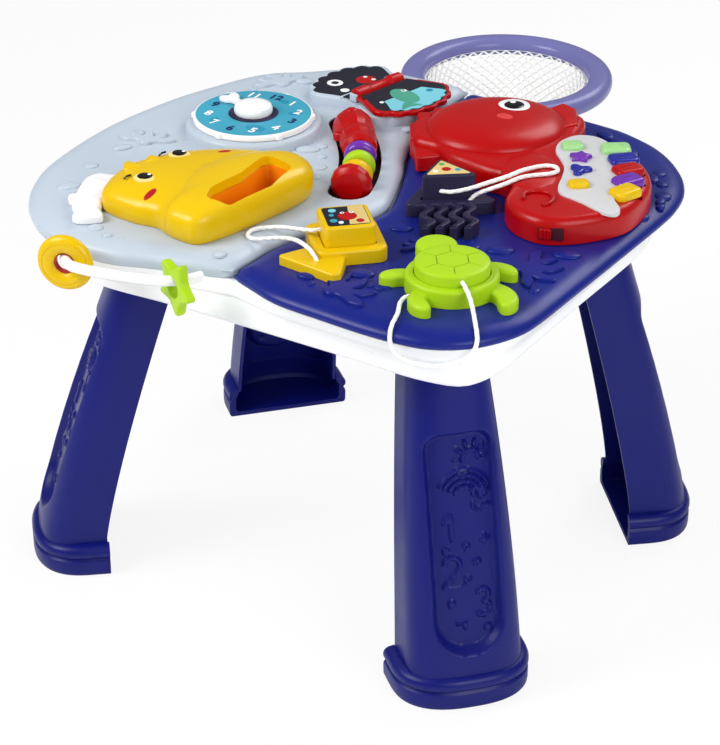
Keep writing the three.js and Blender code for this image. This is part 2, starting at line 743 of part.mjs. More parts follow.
// Round or shaped stages that stand on the lagoon cover
const clockBossTop = lagoonTop + clockBossHeight;
const pageBlockTop = lagoonTop + pageBlockHeight;
const railCurvePoints = railLine.map(([x, y]) => new THREE.Vector3(x, y, 0));
const railCurve = new THREE.CatmullRomCurve3(railCurvePoints, false, 'centripetal');
const railZ = lagoonTop + railDepth;
const railPocketFloor = lagoonTop - railPocketDepth;

// The long bean-shaped loop round the rail, at a distance from its centre line
function railLoop(halfWidth, steps = 6, capSteps = 4) {
  const left = [];
  const right = [];
  const sway = new THREE.Vector2();
  for (let k = 0; k <= steps; k += 1) {
    const point = railCurve.getPointAt(k / steps);
    const tangent = railCurve.getTangentAt(k / steps);
    sway.set(-tangent.y, tangent.x);
    left.push(new THREE.Vector2(point.x, point.y).addScaledVector(sway, halfWidth));
    right.push(new THREE.Vector2(point.x, point.y).addScaledVector(sway, -halfWidth));
  }
  const cap = (middle, from, sign) => Array.from({ length: capSteps - 1 }, (_, k) => {
    const turn = sign * Math.PI * (k + 1) / capSteps;
    return from.clone().sub(middle).rotateAround(new THREE.Vector2(), turn).add(middle);
  });
  const start = railCurve.getPointAt(0);
  const end = railCurve.getPointAt(1);
  const startMiddle = new THREE.Vector2(start.x, start.y);
  const endMiddle = new THREE.Vector2(end.x, end.y);
  return [...right, ...cap(endMiddle, right[right.length - 1], 1), ...left.reverse(), ...cap(startMiddle, left[left.length - 1], 1)];
}

// The scalloped outline that the page and the stage beneath it share, one half of the book
function bookLoop(width, depth, side, lobeDepth, lobes = pageLobes, steps = 2) {
  const loop = [];
  const spineHalf = depth * bookSpineShare;
  const shoulder = new THREE.Vector2(side * width * bookShoulderShare, side * spineHalf * bookShoulderSpread);
  loop.push(new THREE.Vector2(0, -side * spineHalf), new THREE.Vector2(shoulder.x, -shoulder.y));
  for (let k = 0; k < lobes * steps; k += 1) {
    const share = (k + 1 / 2) / (lobes * steps);
    const angle = bookSweep * (2 * share - 1);
    const swell = 1 - lobeDepth / width * (1 + Math.cos(share * lobes * 2 * Math.PI));
    loop.push(new THREE.Vector2(
      shoulder.x + side * width * (1 - bookShoulderShare) * Math.cos(angle) ** bookRoundness * swell,
      side * depth / 2 * Math.sin(angle) / Math.sin(bookSweep) * swell,
    ));
  }
  loop.push(shoulder, new THREE.Vector2(0, side * spineHalf));
  return loop;
}

const onBook = (geometry) => placed(geometry, pageHingeX, pageHingeY, 0, pageTurnDegrees);
const leafBottom = pageBlockTop + runningGap;
const pageHingeZ = leafBottom + pageThickness / 2;
const barrelHalf = pageBarrelLength / 2;
const pinHalf = barrelHalf + runningGap + pageEarLength;

// A round bar along the book's hinge line, from one distance along it to another
function hingeBar(from, to, radius, sides) {
  return bar(new THREE.Vector3(0, from, pageHingeZ), new THREE.Vector3(0, to, pageHingeZ), radius, sides);
}

// The hinge ears stand at both ends of the barrel
function hingeEars(foundation) {
  return [-1, 1].map((end) => {
    const near = end * (barrelHalf + runningGap);
    const far = end * pinHalf;
    return onBook(join(
      placed(block(pageEarRadius * 2, pageEarLength, foundation, pageHingeZ), 0, (near + far) / 2, 0),
      hingeBar(Math.min(near, far), Math.max(near, far), pageEarRadius, 12),
    ));
  });
}

function makeLagoonCover() {
  const { outer, inner } = coverShell(lagoonLoop, lagoonTop);
  const shell = cut(outer, inner);
  const foundation = lagoonTop - coverWall / 2;
  const clockBoss = placed(slab(roundLoop(clockBossRadius, 26), foundation, clockBossTop, stageRadius, 0, 1), clockX, clockY, 0);
  const clockPost = placed(drum(clockPostRadius, foundation, clockPostTop, 16), clockX, clockY, 0);
  const pageStages = [-1, 1].map((side) => onBook(slab(
    bookLoop(pageBlockWidth / 2, pageBlockDepth, side, pageLobeDepth / 2),
    lagoonTop - stageRoot,
    pageBlockTop,
    stageRadius / 2,
    0,
    1,
  )));
  const spine = onBook(block(pageBarrelRadius * 2, pinHalf * 2, foundation, pageBlockTop));
  const pocketOuter = slab(railLoop(railPocketWidth / 2 + railPocketWall), railPocketFloor - railPocketWall, foundation);
  const bosses = screwPlaces.filter(([x]) => x < 0).map(([x, y]) => screwBoss(x, y, lagoonTop));
  const solid = join(shell, clockBoss, clockPost, ...pageStages, spine, pocketOuter, ...bosses);
  const trough = onBook(hingeBar(-barrelHalf - runningGap, barrelHalf + runningGap, pageBarrelRadius + runningGap, 12));
  const labelWell = onBook(shellLabelAt(0, pageBlockTop - labelThickness, cutOverrun));
  const pocketInner = slab(railLoop(railPocketWidth / 2), railPocketFloor, lagoonTop + cutOverrun);
  const pinHole = onBook(hingeBar(-pinHalf - cutOverrun, pinHalf + cutOverrun, pagePinRadius + seatGap, 8));
  const withEars = join(cut(solid, trough), ...hingeEars(foundation));
  return cut(withEars, labelWell, pocketInner, pinHole, rodTube(rodRadius + seatGap, 8));
}

// The left page's label, smaller than its stage by a border and a gap
function shellLabelAt(gap, bottom, thickness) {
  const border = pageLabelInset * 1.5 + gap;
  const loop = bookLoop(pageBlockWidth / 2 - 2 * border, pageBlockDepth - 2 * border, -1, pageLobeDepth);
  return placed(slab(loop, bottom, bottom + thickness), -pageBarrelRadius - border, 0, 0);
}

function makeReefCover() {
  const { outer, inner } = coverShell(reefLoop, deckTop);
  const bosses = screwPlaces.filter(([x]) => x > 0).map(([x, y]) => screwBoss(x, y, deckTop));
  return join(cut(outer, inner), ...bosses);
}

// Clock: a dial that turns on the cover's post, its numbered face and a hand on top
const clockDialBottom = clockBossTop + seatGap;
const clockDialTop = clockDialBottom + clockRimHeight;
const clockPostTop = clockDialTop + seatGap;
const clockLabelTop = clockDialTop - clockFaceDepth + labelThickness;

function makeClockDial() {
  const nubs = Array.from({ length: clockNubCount }, (_, k) => {
    const angle = (k + 0.5) * 2 * Math.PI / clockNubCount;
    const reach = clockRimRadius - clockNubRadius / 2;
    return placed(slab(roundLoop(clockNubRadius, 8), 0, clockRimHeight, 1, 0, 1), reach * Math.cos(angle), reach * Math.sin(angle), 0);
  });
  const rim = slab(roundLoop(clockRimRadius, 24), 0, clockRimHeight, stageRadius / 2, 0, 1);
  const faceWell = drum(clockFaceRadius, clockRimHeight - clockFaceDepth, clockRimHeight + cutOverrun, 24);
  const bore = drum(clockPostRadius + runningGap, -cutOverrun, clockRimHeight + cutOverrun, 16);
  return placed(cut(join(rim, ...nubs), faceWell, bore), clockX, clockY, clockDialBottom);
}

function makeDialLabel() {
  const disc = drum(clockFaceRadius - seatGap, 0, labelThickness, 24);
  const hole = drum(clockRingRadius, -cutOverrun, cutOverrun, 18);
  return placed(cut(disc, hole), clockX, clockY, clockDialTop - clockFaceDepth + labelLift);
}

// The hand: a domed knob with a neck that spreads into two flukes
function makeClockHand() {
  const bottom = clockPostTop + seatGap;
  const knob = slab(
    roundLoop(clockHubRadius, 18),
    bottom,
    bottom + clockHubHeight,
    clockHubDomeHeight,
    0,
    3,
    clockHubDomeReach,
  );
  const flukes = clockHandShares.map(([a, b]) => new THREE.Vector2(a * clockHandLength, b * clockHandWidth));
  const arm = slab(flukes, bottom, bottom + clockHandThickness, 1, 0, 1);
  return placed(join(knob, arm), clockX, clockY, 0, clockHandTurnDegrees);
}

// The indigo washer under the hand, pressed on the dial round the post
function makeClockWasher() {
  const washer = drum(clockRingRadius - seatGap, 0, clockFaceDepth, 18);
  const bore = drum(clockPostRadius + runningGap, -cutOverrun, cutOverrun, 16);
  return placed(cut(washer, bore), clockX, clockY, clockDialTop - clockFaceDepth + labelLift);
}

// Flip page: a scalloped leaf on a waisted barrel, turning about the pin
function makePage() {
  const leaf = placed(slab(bookLoop(pageWidth, pageDepth, 1, pageLobeDepth), leafBottom, leafBottom + pageThickness, 1, 0, 1), pageRoot, 0, 0);
  const profile = [new THREE.Vector2(0, -barrelHalf)];
  pageWaistShares.forEach(([along, swell]) => profile.push(new THREE.Vector2(pageBarrelRadius * swell, along * barrelHalf)));
  profile.push(new THREE.Vector2(0, barrelHalf));
  const barrel = new THREE.LatheGeometry(profile, 12).translate(0, 0, pageHingeZ);
  const bore = hingeBar(-barrelHalf - cutOverrun, barrelHalf + cutOverrun, pagePinRadius + seatGap, 8);
  return onBook(cut(join(leaf, barrel), bore, pageLabelAt(0, leafBottom + pageThickness - labelThickness, cutOverrun)));
}

// The label on the leaf, smaller than the leaf by a border and a gap
function pageLabelAt(gap, bottom, thickness) {
  const border = pageLabelInset + gap;
  const loop = bookLoop(pageWidth - 2 * border, pageDepth - 2 * border, 1, pageLobeDepth);
  return placed(slab(loop, bottom, bottom + thickness), pageRoot + border, 0, 0);
}

function makePagePin() {
  return onBook(hingeBar(-pinHalf, pinHalf, pagePinRadius, 8));
}

function makePageLabel() {
  return onBook(pageLabelAt(seatGap, leafBottom + pageThickness - labelThickness + labelLift, labelThickness));
}

function makeShellLabel() {
  return onBook(shellLabelAt(seatGap, pageBlockTop - labelThickness + labelLift, labelThickness));
}

// Shrimp: head, back and tail joined by the rail, with three beads between
const beadEnds = railBeadWidth / 2 + runningGap / 2;

function railStretch(from, to, radius, sides, steps) {
  const points = Array.from({ length: steps + 1 }, (_, k) => {
    const point = railCurve.getPointAt(from + (to - from) * k / steps);
    return new THREE.Vector3(point.x, point.y, railZ);
  });
  return tube(points, radius, sides, steps);
}

// A body segment: rings round the rail that swell and shrink with the shares given
function railBody(from, to, swellShares, radius, sides = 10) {
  const steps = swellShares.length - 1;
  const rings = swellShares.map((swell, k) => {
    const share = from + (to - from) * k / steps;
    const point = railCurve.getPointAt(share);
    const tangent = railCurve.getTangentAt(share);
    const side = new THREE.Vector3(-tangent.y, tangent.x, 0);
    return roundLoop(radius * swell, sides).map((p) => new THREE.Vector3(point.x, point.y, railZ)
      .addScaledVector(side, -p.x)
      .addScaledVector(up, Math.max(p.y, railPocketFloor + seatGap - railZ)));
  });
  return loftTurned(rings);
}

// As loft, for rings that aren't level: the ends are filled by fans from their middles
function loftTurned(rings) {
  const count = rings[0].length;
  const positions = [];
  const index = [];
  rings.forEach((ring) => ring.forEach((p) => positions.push(p.x, p.y, p.z)));
  for (let r = 0; r + 1 < rings.length; r += 1) {
    for (let k = 0; k < count; k += 1) {
      const next = (k + 1) % count;
      const [a, b] = [r * count + k, r * count + next];
      index.push(a, b, b + count, a, b + count, a + count);
    }
  }
  [0, rings.length - 1].forEach((r) => {
    const middle = rings[r].reduce((sum, p) => sum.add(p), new THREE.Vector3()).multiplyScalar(1 / count);
    positions.push(middle.x, middle.y, middle.z);
    const hub = positions.length / 3 - 1;
    for (let k = 0; k < count; k += 1) {
      const [a, b] = [r * count + k, r * count + (k + 1) % count];
      if (r === 0) index.push(hub, b, a);
      else index.push(hub, a, b);
    }
  });
  const geometry = new THREE.BufferGeometry();
  geometry.setAttribute('position', new THREE.Float32BufferAttribute(positions, 3));
  geometry.setIndex(index);
  return geometry;
}

const railLength = railCurve.getLength();
const headEndShare = railBeadShares[0] - (beadEnds + runningGap) / railLength;
const tailStartShare = railBeadShares[2] + (beadEnds + shrimpTailGap) / railLength;

function makeShrimp() {
  const head = railBody(0, headEndShare, shrimpHeadShares, railBodyRadius);
  const tail = railBody(tailStartShare, 1, shrimpTailShares, railBodyRadius);
  const spindle = railStretch(headEndShare / 2, (1 + tailStartShare) / 2, railRadius, 10, 10);
  const floor = block(tableWidth, tableDepth, railPocketFloor + seatGap, railZ * 2);
  return common(join(head, tail, spindle), floor);
}

function beadPlace(share) {
  const point = railCurve.getPointAt(share);
  const tangent = railCurve.getTangentAt(share);
  return { point, angle: Math.atan2(tangent.y, tangent.x) };
}

// A bead: a lathe ring with softly rounded edges, its bore along the rail
function makeBead(share) {
  const half = railBeadWidth / 2;
  const bore = railRadius + runningGap;
  const edge = railBeadRadius * railBeadEdgeShare;
  const profile = [
    [bore, -half], [edge, -half], [railBeadRadius, -half * railBeadFlatShare],
    [railBeadRadius, half * railBeadFlatShare], [edge, half], [bore, half], [bore, -half],
  ].map(([r, h]) => new THREE.Vector2(r, h));
  const { point, angle } = beadPlace(share);
  const ring = new THREE.LatheGeometry(profile, 16).rotateZ(-Math.PI / 2).rotateZ(angle);
  return ring.translate(point.x, point.y, railZ);
}

// Ring rod: its root points sink into the lagoon cover's edge
const rodCurve = new THREE.CatmullRomCurve3(rodShares.map(([along, out, lifted]) => new THREE.Vector3(
  rodLeftX + along * rodSpan,
  rodLeftY - out * rodReach,
  lagoonTop - rodDrop - rodRadius + lifted * rodRise,
)), false, 'centripetal');

function rodTube(radius, sides) {
  const section = new THREE.Shape(roundLoop(radius, sides));
  return new THREE.ExtrudeGeometry(section, { steps: rodSteps, bevelEnabled: false, extrudePath: rodCurve });
}

// A toy that hangs on the rod, its hole's upper edge resting on the rod
function onRod(geometry, share, turnDegrees, holeRadius) {
  const place = rodCurve.getPointAt(share);
  const drop = holeRadius - rodRadius - rodHoleGap;
  return geometry.clone().rotateX(Math.PI / 2).rotateZ(radians(turnDegrees))
    .translate(place.x, place.y, place.z - drop);
}

function makeRing() {
  const half = ringThickness / 2;
  const middle = (ringOuterRadius + ringInnerRadius) / 2;
  const reach = (ringOuterRadius - ringInnerRadius) / 2;
  const profile = roundLoop(1, 8).map((p) => new THREE.Vector2(middle + p.x * reach, p.y * half));
  profile.push(profile[0].clone());
  return new THREE.LatheGeometry(profile, 20).rotateX(Math.PI / 2);
}

function makeStar() {
  const tips = 5;
  const points = Array.from({ length: tips * 2 }, (_, k) => {
    const radius = k % 2 === 0 ? starRadius : starRadius * starNotchShare;
    const angle = k * Math.PI / tips + radians(starPhaseDegrees);
    return new THREE.Vector2(radius * Math.cos(angle), radius * Math.sin(angle));
  });
  const half = starThickness / 2;
  const plate = slab(smoothLoop(points, 20), -half, half, starEdgeRadius, starEdgeRadius, 1);
  return cut(plate, drum(starHoleRadius, -half - cutOverrun, half + cutOverrun, 12));
}

// Ball hoop: a flattened ring on an arm behind the tray, with a net hung inside
const hoopZ = deckTop - hoopDrop;

function makeHoop() {
  const section = roundLoop(1, 8).map((p) => new THREE.Vector2(hoopRadius + p.x * hoopTubeWidth / 2, p.y * hoopTubeHeight / 2));
  section.push(section[0].clone());
  const ring = new THREE.LatheGeometry(section, 28).rotateX(Math.PI / 2);
  const armEnd = hoopRadius + hoopArmReach;
  const arm = placed(block(hoopArmWidth, hoopArmReach * 2, -hoopArmHeight / 2, hoopArmHeight / 2), 0, -armEnd + hoopArmReach / 2, 0);
  const bore = drum(hoopRadius, -hoopTubeHeight, hoopTubeHeight, 28);
  const whole = placed(join(ring, cut(arm, bore)), hoopX, hoopY, hoopZ);
  return cut(whole, slab(inset(topLoop, trayInset - seatGap), trayBottom - cutOverrun, trayTop), slab(inset(topLoop, -seatGap), trayTop, deckTop + cutOverrun));
}

// A net of slanting strands knotted in diamonds, narrowing downwards, with a rim cord at its
// top and at its bottom. Each knot is a small four-sided pad, and each strand a flat bar from
// one side of a knot to the facing side of the next.
function makeNet() {
  const top = hoopZ - netDrop;
  const positions = [];
  const index = [];
  const halfTurn = netCordWidth * netMeshes / (2 * Math.PI * netTopRadius);
  const halfRow = netCordWidth * netRows / netHeight;
  // The pad's corners stand to its right, above it, to its left and below it
  const cornerShares = [[halfTurn, 0], [0, -halfRow], [-halfTurn, 0], [0, halfRow]];
  const addKnot = (turn, row, out) => cornerShares.forEach(([aside, down]) => {
    const share = (row + down) / netRows;
    const angle = (turn + aside) * 2 * Math.PI / netMeshes;
    const radius = netTopRadius + (netBottomRadius - netTopRadius) * share + out;
    positions.push(radius * Math.cos(angle), radius * Math.sin(angle), top - share * netHeight);
  });
  const sides = cornerShares.length;
  const knotAt = (row, k) => row * netMeshes + (k + netMeshes) % netMeshes;
  const outer = (knot, side) => knot * 2 * sides + side;
  const inner = (knot, side) => outer(knot, side) + sides;
  const quad = (a, b, c, d) => index.push(a, b, c, a, c, d);
  const strand = (first, sideA, sideB, second, sideC, sideD) => {
    quad(outer(first, sideA), outer(second, sideC), outer(second, sideD), outer(first, sideB));
    quad(inner(first, sideB), inner(second, sideD), inner(second, sideC), inner(first, sideA));
    quad(outer(second, sideC), outer(first, sideA), inner(first, sideA), inner(second, sideC));
    quad(outer(first, sideB), outer(second, sideD), inner(second, sideD), inner(first, sideB));
  };
  const [right, above, left, below] = [0, 1, 2, 3];
  for (let row = 0; row <= netRows; row += 1) {
    const shift = row % 2;
    for (let k = 0; k < netMeshes; k += 1) {
      const knot = knotAt(row, k);
      addKnot(k + shift / 2, row, netCordThickness / 2);
      addKnot(k + shift / 2, row, -netCordThickness / 2);
      quad(outer(knot, right), outer(knot, above), outer(knot, left), outer(knot, below));
      quad(inner(knot, below), inner(knot, left), inner(knot, above), inner(knot, right));
      if (row < netRows) {
        strand(knot, below, right, knotAt(row + 1, k + shift), left, above);
        strand(knot, left, below, knotAt(row + 1, k - 1 + shift), above, right);
      }
      if (row === 0) strand(knot, right, above, knotAt(row, k + 1), left, above);
      if (row === netRows) strand(knot, below, right, knotAt(row, k + 1), below, left);
    }
  }
  const net = new THREE.BufferGeometry();
  net.setAttribute('position', new THREE.Float32BufferAttribute(positions, 3));
  net.setIndex(index);
  return placed(net, hoopX, hoopY, 0);
}

// Legs: a channel open to the inside on a closed foot, with a sunk panel outside
const legTop = trayBottom - seatGap;

function legSection(height, shrink, lean) {
  const share = (height - footHeight) / (legTop - footHeight);
  const swell = legSwell * 4 * share * (1 - share);
  const half = (legWidthBottom + (legWidthTop - legWidthBottom) * share + swell) / 2 - shrink;
  const depth = legDepthBottom + (legDepthTop - legDepthBottom) * share - shrink;
  const back = legFootSetback - lean * share;
  const front = back + depth;
  const flat = depth * legFlatShare;
  const arcSteps = 6;
  const loop = [new THREE.Vector3(half, back, height)];
  for (let k = 0; k <= arcSteps; k += 1) {
    const angle = Math.PI * k / arcSteps;
    loop.push(new THREE.Vector3(
      half * Math.sign(Math.cos(angle)) * Math.abs(Math.cos(angle)) ** legRoundness,
      back + flat + (front - back - flat) * Math.sin(angle) ** legRoundness,
      height,
    ));
  }
  loop.push(new THREE.Vector3(-half, back, height));
  return loop;
}

function legBody(shrink, bottom, top, levels, lean) {
  return loft(Array.from({ length: levels + 1 }, (_, k) => legSection(bottom + (top - bottom) * k / levels, shrink, lean)));
}

function footLoop() {
  const half = footWidth / 2;
  const loop = [new THREE.Vector2(half, 0)];
  const arcSteps = 8;
  const flat = footDepth * footFlatShare;
  for (let k = 0; k <= arcSteps; k += 1) {
    const angle = Math.PI * k / arcSteps;
    loop.push(new THREE.Vector2(
      half * Math.sign(Math.cos(angle)) * Math.abs(Math.cos(angle)) ** footRoundness,
      flat + (footDepth - flat) * Math.sin(angle) ** footRoundness,
    ));
  }
  loop.push(new THREE.Vector2(-half, 0));
  return loop;
}

function makeFoot() {
  const loop = footLoop();
  const grooveHeight = footHeight * footGrooveShare;
  return loft([
    lift(inset(loop, footGroove), 0),
    lift(inset(loop, footGroove / 2), grooveHeight - footGroove),
    lift(inset(loop, footLipInset), grooveHeight),
    lift(loop, grooveHeight + footGroove),
    lift(inset(loop, footLipInset), footHeight),
  ]);
}

function makeLeg(lean) {
  const foot = makeFoot();
  const outer = legBody(0, footHeight - footGroove, legTop, 2, lean);
  const hollow = legBody(legWall, footHeight, legTop - legWall * 2, 1, lean);
  const mouth = hollow.clone().translate(0, -legDepthBottom / 2, 0);
  const stadium = roundedLoop(boxLoop(panelWidth, panelHeight), panelWidth / 2 - seatGap, 5);
  const panel = slab(stadium, 0, footDepth + lean).rotateX(Math.PI / 2)
    .translate(0, footDepth + lean, panelBottom + panelHeight / 2);
  const inside = block(footWidth * 2, legDepthBottom, 0, legTop).translate(0, -lean, 0);
  const panelTool = cut(panel, legBody(panelDepth, footHeight, legTop, 2, lean), inside);
  return cut(join(foot, outer), hollow, mouth, panelTool);
}

// Each leg's place: the corner it stands at, and the way it faces
const legCorners = [
  ['leg_front_right', 1, -1], ['leg_back_right', 1, 1], ['leg_back_left', -1, 1], ['leg_front_left', -1, -1],
];

function placeLeg(geometry, sideX, sideY) {
  const facing = Math.atan2(sideY * Math.sin(radians(legTurnDegrees)), sideX * Math.cos(radians(legTurnDegrees)));
  return geometry.clone().rotateZ(facing - Math.PI / 2).translate(sideX * legReachX, sideY * legReachY, 0);
}

// Music unit: a seahorse casing with a keyboard, its base plate and the works inside
const musicBottom = deckTop + seatGap;
const musicTop = musicBottom + musicHeight;
const musicLoop = smoothLoop(scaled(musicShares, musicWidth, musicDepth, musicX, musicY), 42);
const bezelLoop = smoothLoop(scaled(bezelShares, musicWidth, musicDepth, musicX, musicY), 24);
const headLoop = roundLoop(1, 18).map((p) => new THREE.Vector2(p.x * headWidth / 2, p.y * headDepth / 2));

function onMusic(share) {
  return [musicX + share[0] * musicWidth / 2, musicY + share[1] * musicDepth / 2];
}

const musicShellBottom = musicBottom + musicBaseThickness + seatGap;
const bezelTop = musicTop + bezelThickness / 2;
const bezelBottom = bezelTop - bezelThickness;

function keyLoop(grow) {
  return roundedLoop(boxLoop(keyWidth + 2 * grow, keyDepth + 2 * grow), keyDepth / 5, 2);
}

// Outline of each push button: a pill, a star, a clover and a pill
function buttonLoop(k, grow) {
  const [wide, deep] = buttonSidesShares[k];
  if (k === 0 || k === 3) {
    return roundedLoop(boxLoop(2 * (buttonRadius * wide + grow), 2 * (buttonRadius * deep + grow)), buttonRadius / 2, 2);
  }
  const lobes = k === 1 ? 5 : 3;
  return Array.from({ length: buttonSides }, (_, i) => {
    const angle = i * 2 * Math.PI / buttonSides;
    const radius = buttonRadius * (1 + buttonLobeShare * Math.cos(lobes * angle)) * wide + grow;
    return new THREE.Vector2(radius * Math.cos(angle), radius * Math.sin(angle));
  });
}

const boardTop = musicShellBottom + boardLift + boardThickness;

function makeMusicTop() {
  const outer = join(
    slab(musicLoop, musicBottom, musicTop, musicShoulder, 0, 2),
    placed(slab(headLoop, 0, musicHeight + headHeight, headShoulder, 0, 2, headShoulderReach), headX, headY, musicBottom),
    placed(slab(roundLoop(curlRadius, 18), 0, musicHeight + curlHeight, curlShoulder, 0, 2, curlShoulderReach), curlX, curlY, musicBottom),
  );
  const trimmed = common(outer, slab(musicLoop, musicBottom, musicTop + headHeight * 2));
  const inside = slab(inset(musicLoop, musicWall), musicBottom - cutOverrun, musicTop - musicWall, musicShoulder / 2, 0, 1);
  const headInside = placed(slab(inset(headLoop, musicWall), 0, musicHeight + headHeight - musicWall, headShoulder / 2, 0, 1, headShoulder), headX, headY, musicBottom);
  const inner = join(inside, common(headInside, slab(inset(musicLoop, musicWall), musicBottom, musicTop + headHeight)));
  const bezelSeat = slab(inset(bezelLoop, -seatGap), bezelBottom - seatGap, musicTop + headHeight);
  const keyHoles = keyShares.map((share) => placed(slab(keyLoop(keyGap), boardTop, musicTop + headHeight), ...onMusic(share), 0, share[2]));
  const buttonHoles = buttonShares.map((share) => placed(drum(buttonStem + keyGap, boardTop, musicTop, 12), ...onMusic(share), 0));
  const slot = onSwitch(placed(
    block(switchWidth + switchTravel + 2 * keyGap, musicWall * 4, -keyGap, switchHeight + keyGap),
    0,
    musicWall,
    0,
  ));
  return cut(trimmed, inner, bezelSeat, ...keyHoles, ...buttonHoles, slot);
}

function makeMusicBase() {
  const plate = slab(inset(musicLoop, musicWall + seatGap), musicBottom, musicBottom + musicBaseThickness);
  return cut(plate, placed(block(doorWidth, doorDepth, musicBottom - cutOverrun, musicTop), headX, batteryY, 0));
}

function makeDoor() {
  const door = block(doorWidth - 2 * seatGap, doorDepth - 2 * seatGap, musicBottom, musicBottom + musicBaseThickness);
  return placed(door, headX, batteryY, 0);
}

function makeBezel() {
  const plate = slab(bezelLoop, bezelBottom, bezelTop + bezelThickness / 2, bezelThickness / 2, 0, 1);
  const keyHoles = keyShares.map((share) => placed(slab(keyLoop(keyGap), bezelBottom - cutOverrun, bezelTop + cutOverrun), ...onMusic(share), 0, share[2]));
  const buttonHoles = buttonShares.map((share, k) => placed(slab(buttonLoop(k, keyGap), bezelBottom - cutOverrun, bezelTop + cutOverrun), ...onMusic(share), 0));
  return cut(plate, ...keyHoles, ...buttonHoles);
}

const pressedBottom = boardTop + seatGap + keyTravel;

function makeKey(k) {
  const cap = slab(keyLoop(0), musicTop - musicWall, bezelTop + keyRise, keyRise / 2, 0, 2);
  const stem = block(keyStemWidth, keyStemWidth / 2, pressedBottom, musicTop - musicWall / 2);
  return placed(join(cap, stem), ...onMusic(keyShares[k]), 0, keyShares[k][2]);
}

function makeButton(k) {
  const cap = slab(buttonLoop(k, 0), bezelBottom + keyTravel, bezelTop + buttonRise + keyTravel, buttonRise / 2, 0, 2);
  const stem = drum(buttonStem, pressedBottom, bezelBottom + keyTravel * 1.5, 12);
  return placed(join(cap, stem), ...onMusic(buttonShares[k]), 0);
}

// The works: a board under the keys, a speaker in the head, two cells and their door
const boardLoop = inset(bezelLoop, -keyWidth / 4);
function makeBoard() {
  const plate = slab(boardLoop, boardTop - boardThickness, boardTop);
  return common(plate, slab(inset(musicLoop, musicWall + runningGap), musicBottom, musicTop));
}

function makeSpeaker() {
  const floor = musicBottom + musicBaseThickness + seatGap;
  return placed(slab(roundLoop(speakerRadius, 18), floor, floor + speakerHeight, speakerHeight / 3, 0, 2), headX, headY, 0);
}

// The cells lie side by side on the door, just in front of the speaker
const batteryY = headY - speakerRadius - 2 * batteryRadius - 3 * seatGap;
function makeBattery(side) {
  const z = musicBottom + musicBaseThickness + seatGap + batteryRadius;
  const y = batteryY + side * (batteryRadius + seatGap);
  const half = batteryLength / 2;
  return bar(new THREE.Vector3(headX - half, y, z), new THREE.Vector3(headX + half, y, z), batteryRadius, 12);
}

// The slide switch stands in a slot through the casing's front wall. Its own frame has X
// along the wall, Y inwards and Z up from the slot's lower edge.
function onSwitch(geometry) {
  return placed(geometry, switchX, switchY, musicBottom + switchRise - switchHeight / 2, switchTurnDegrees);
}

function makeSwitch() {
  const loop = roundedLoop(boxLoop(switchWidth, switchHeight), switchWidth / 4, 2);
  const knob = slab(loop, -switchProud, switchDepth).rotateX(-Math.PI / 2);
  return onSwitch(placed(knob, -switchTravel / 2, 0, switchHeight / 2));
}

// Puffer fish: a hollow moulding with a raised lip, a slot for a mouth and its throat
const pufferBottom = lagoonTop + seatGap;
const pufferTop = pufferBottom + pufferHeight;
const pufferLoop = smoothLoop(scaled(pufferShares, pufferWidth, pufferDepth), 28);
const lipLoop = smoothLoop(scaled(lipShares, pufferWidth, pufferDepth), 24);

function mouthLoop(grow) {
  const corner = pufferMouthWidth / 3 + grow;
  return roundedLoop(boxLoop(pufferMouthWidth + 2 * grow, pufferMouthLength + 2 * grow), corner, 4);
}

// The throat's outside, a cup that narrows downwards, grown by a distance
function throatBody(grow, bottom, top) {
  return placed(loft([
    lift(mouthLoop(grow - pufferMouthTaper), bottom),
    lift(mouthLoop(grow), top),
  ]), pufferMouthX, pufferMouthY, 0, pufferMouthTurnDegrees);
}

const throatTop = pufferHeight - pufferWall * 2;

function makePuffer() {
  const body = slab(pufferLoop, 0, pufferHeight, pufferShoulder, 0, 3, pufferShoulderReach);
  const lip = slab(lipLoop, 0, pufferHeight + pufferLipRise, pufferShoulder, pufferLipUndercut, 2);
  const lipWall = pufferWall + pufferLipUndercut;
  const inside = slab(inset(pufferLoop, pufferWall), -cutOverrun, pufferHeight - pufferWall, pufferInnerShoulder, 0, 1);
  const lipInside = slab(inset(lipLoop, lipWall), -cutOverrun, pufferHeight + pufferLipRise - pufferWall, pufferLipRise, 0, 1);
  const mouth = placed(slab(mouthLoop(0), 0, pufferHeight * 2), pufferMouthX, pufferMouthY, 0, pufferMouthTurnDegrees);
  const throatSeat = throatBody(throatWall + seatGap, throatTop - pufferMouthDepth - seatGap, throatTop + seatGap);
  return placed(cut(join(body, lip), inside, lipInside, mouth, throatSeat), pufferX, pufferY, pufferBottom);
}

function makeThroat() {
  const cup = throatBody(throatWall, throatTop - pufferMouthDepth, throatTop);
  const hollow = throatBody(0, throatTop - pufferMouthDepth + throatWall, throatTop + seatGap);
  return placed(cut(cup, hollow), pufferX, pufferY, pufferBottom);
}

function makeFin() {
  const loop = smoothLoop(scaled(finShares, pufferWidth, pufferDepth), 20);
  const fin = slab(loop, 0, finThickness, finThickness / 2, 0, 2);
  return placed(cut(fin, slab(inset(pufferLoop, -seatGap), -cutOverrun, pufferHeight)), pufferX, pufferY, pufferBottom);
}

// Sorter frames stand on the reef cover, each round a pocket for its block
const sorterBottom = deckTop + seatGap;
const blockBottom = sorterFloor + seatGap;

// A straight hole along a cord's first or last stretch, a little longer than that stretch
function cordHole(line, end) {
  const [deep, mouth] = (end === 0 ? line.slice(0, 2) : line.slice(-2).reverse()).map((p) => new THREE.Vector3(...p));
  const along = mouth.clone().sub(deep).normalize();
  return bar(deep.addScaledVector(along, -runningGap), mouth.addScaledVector(along, cordHoleLead), cordHoleRadius, 7);
}

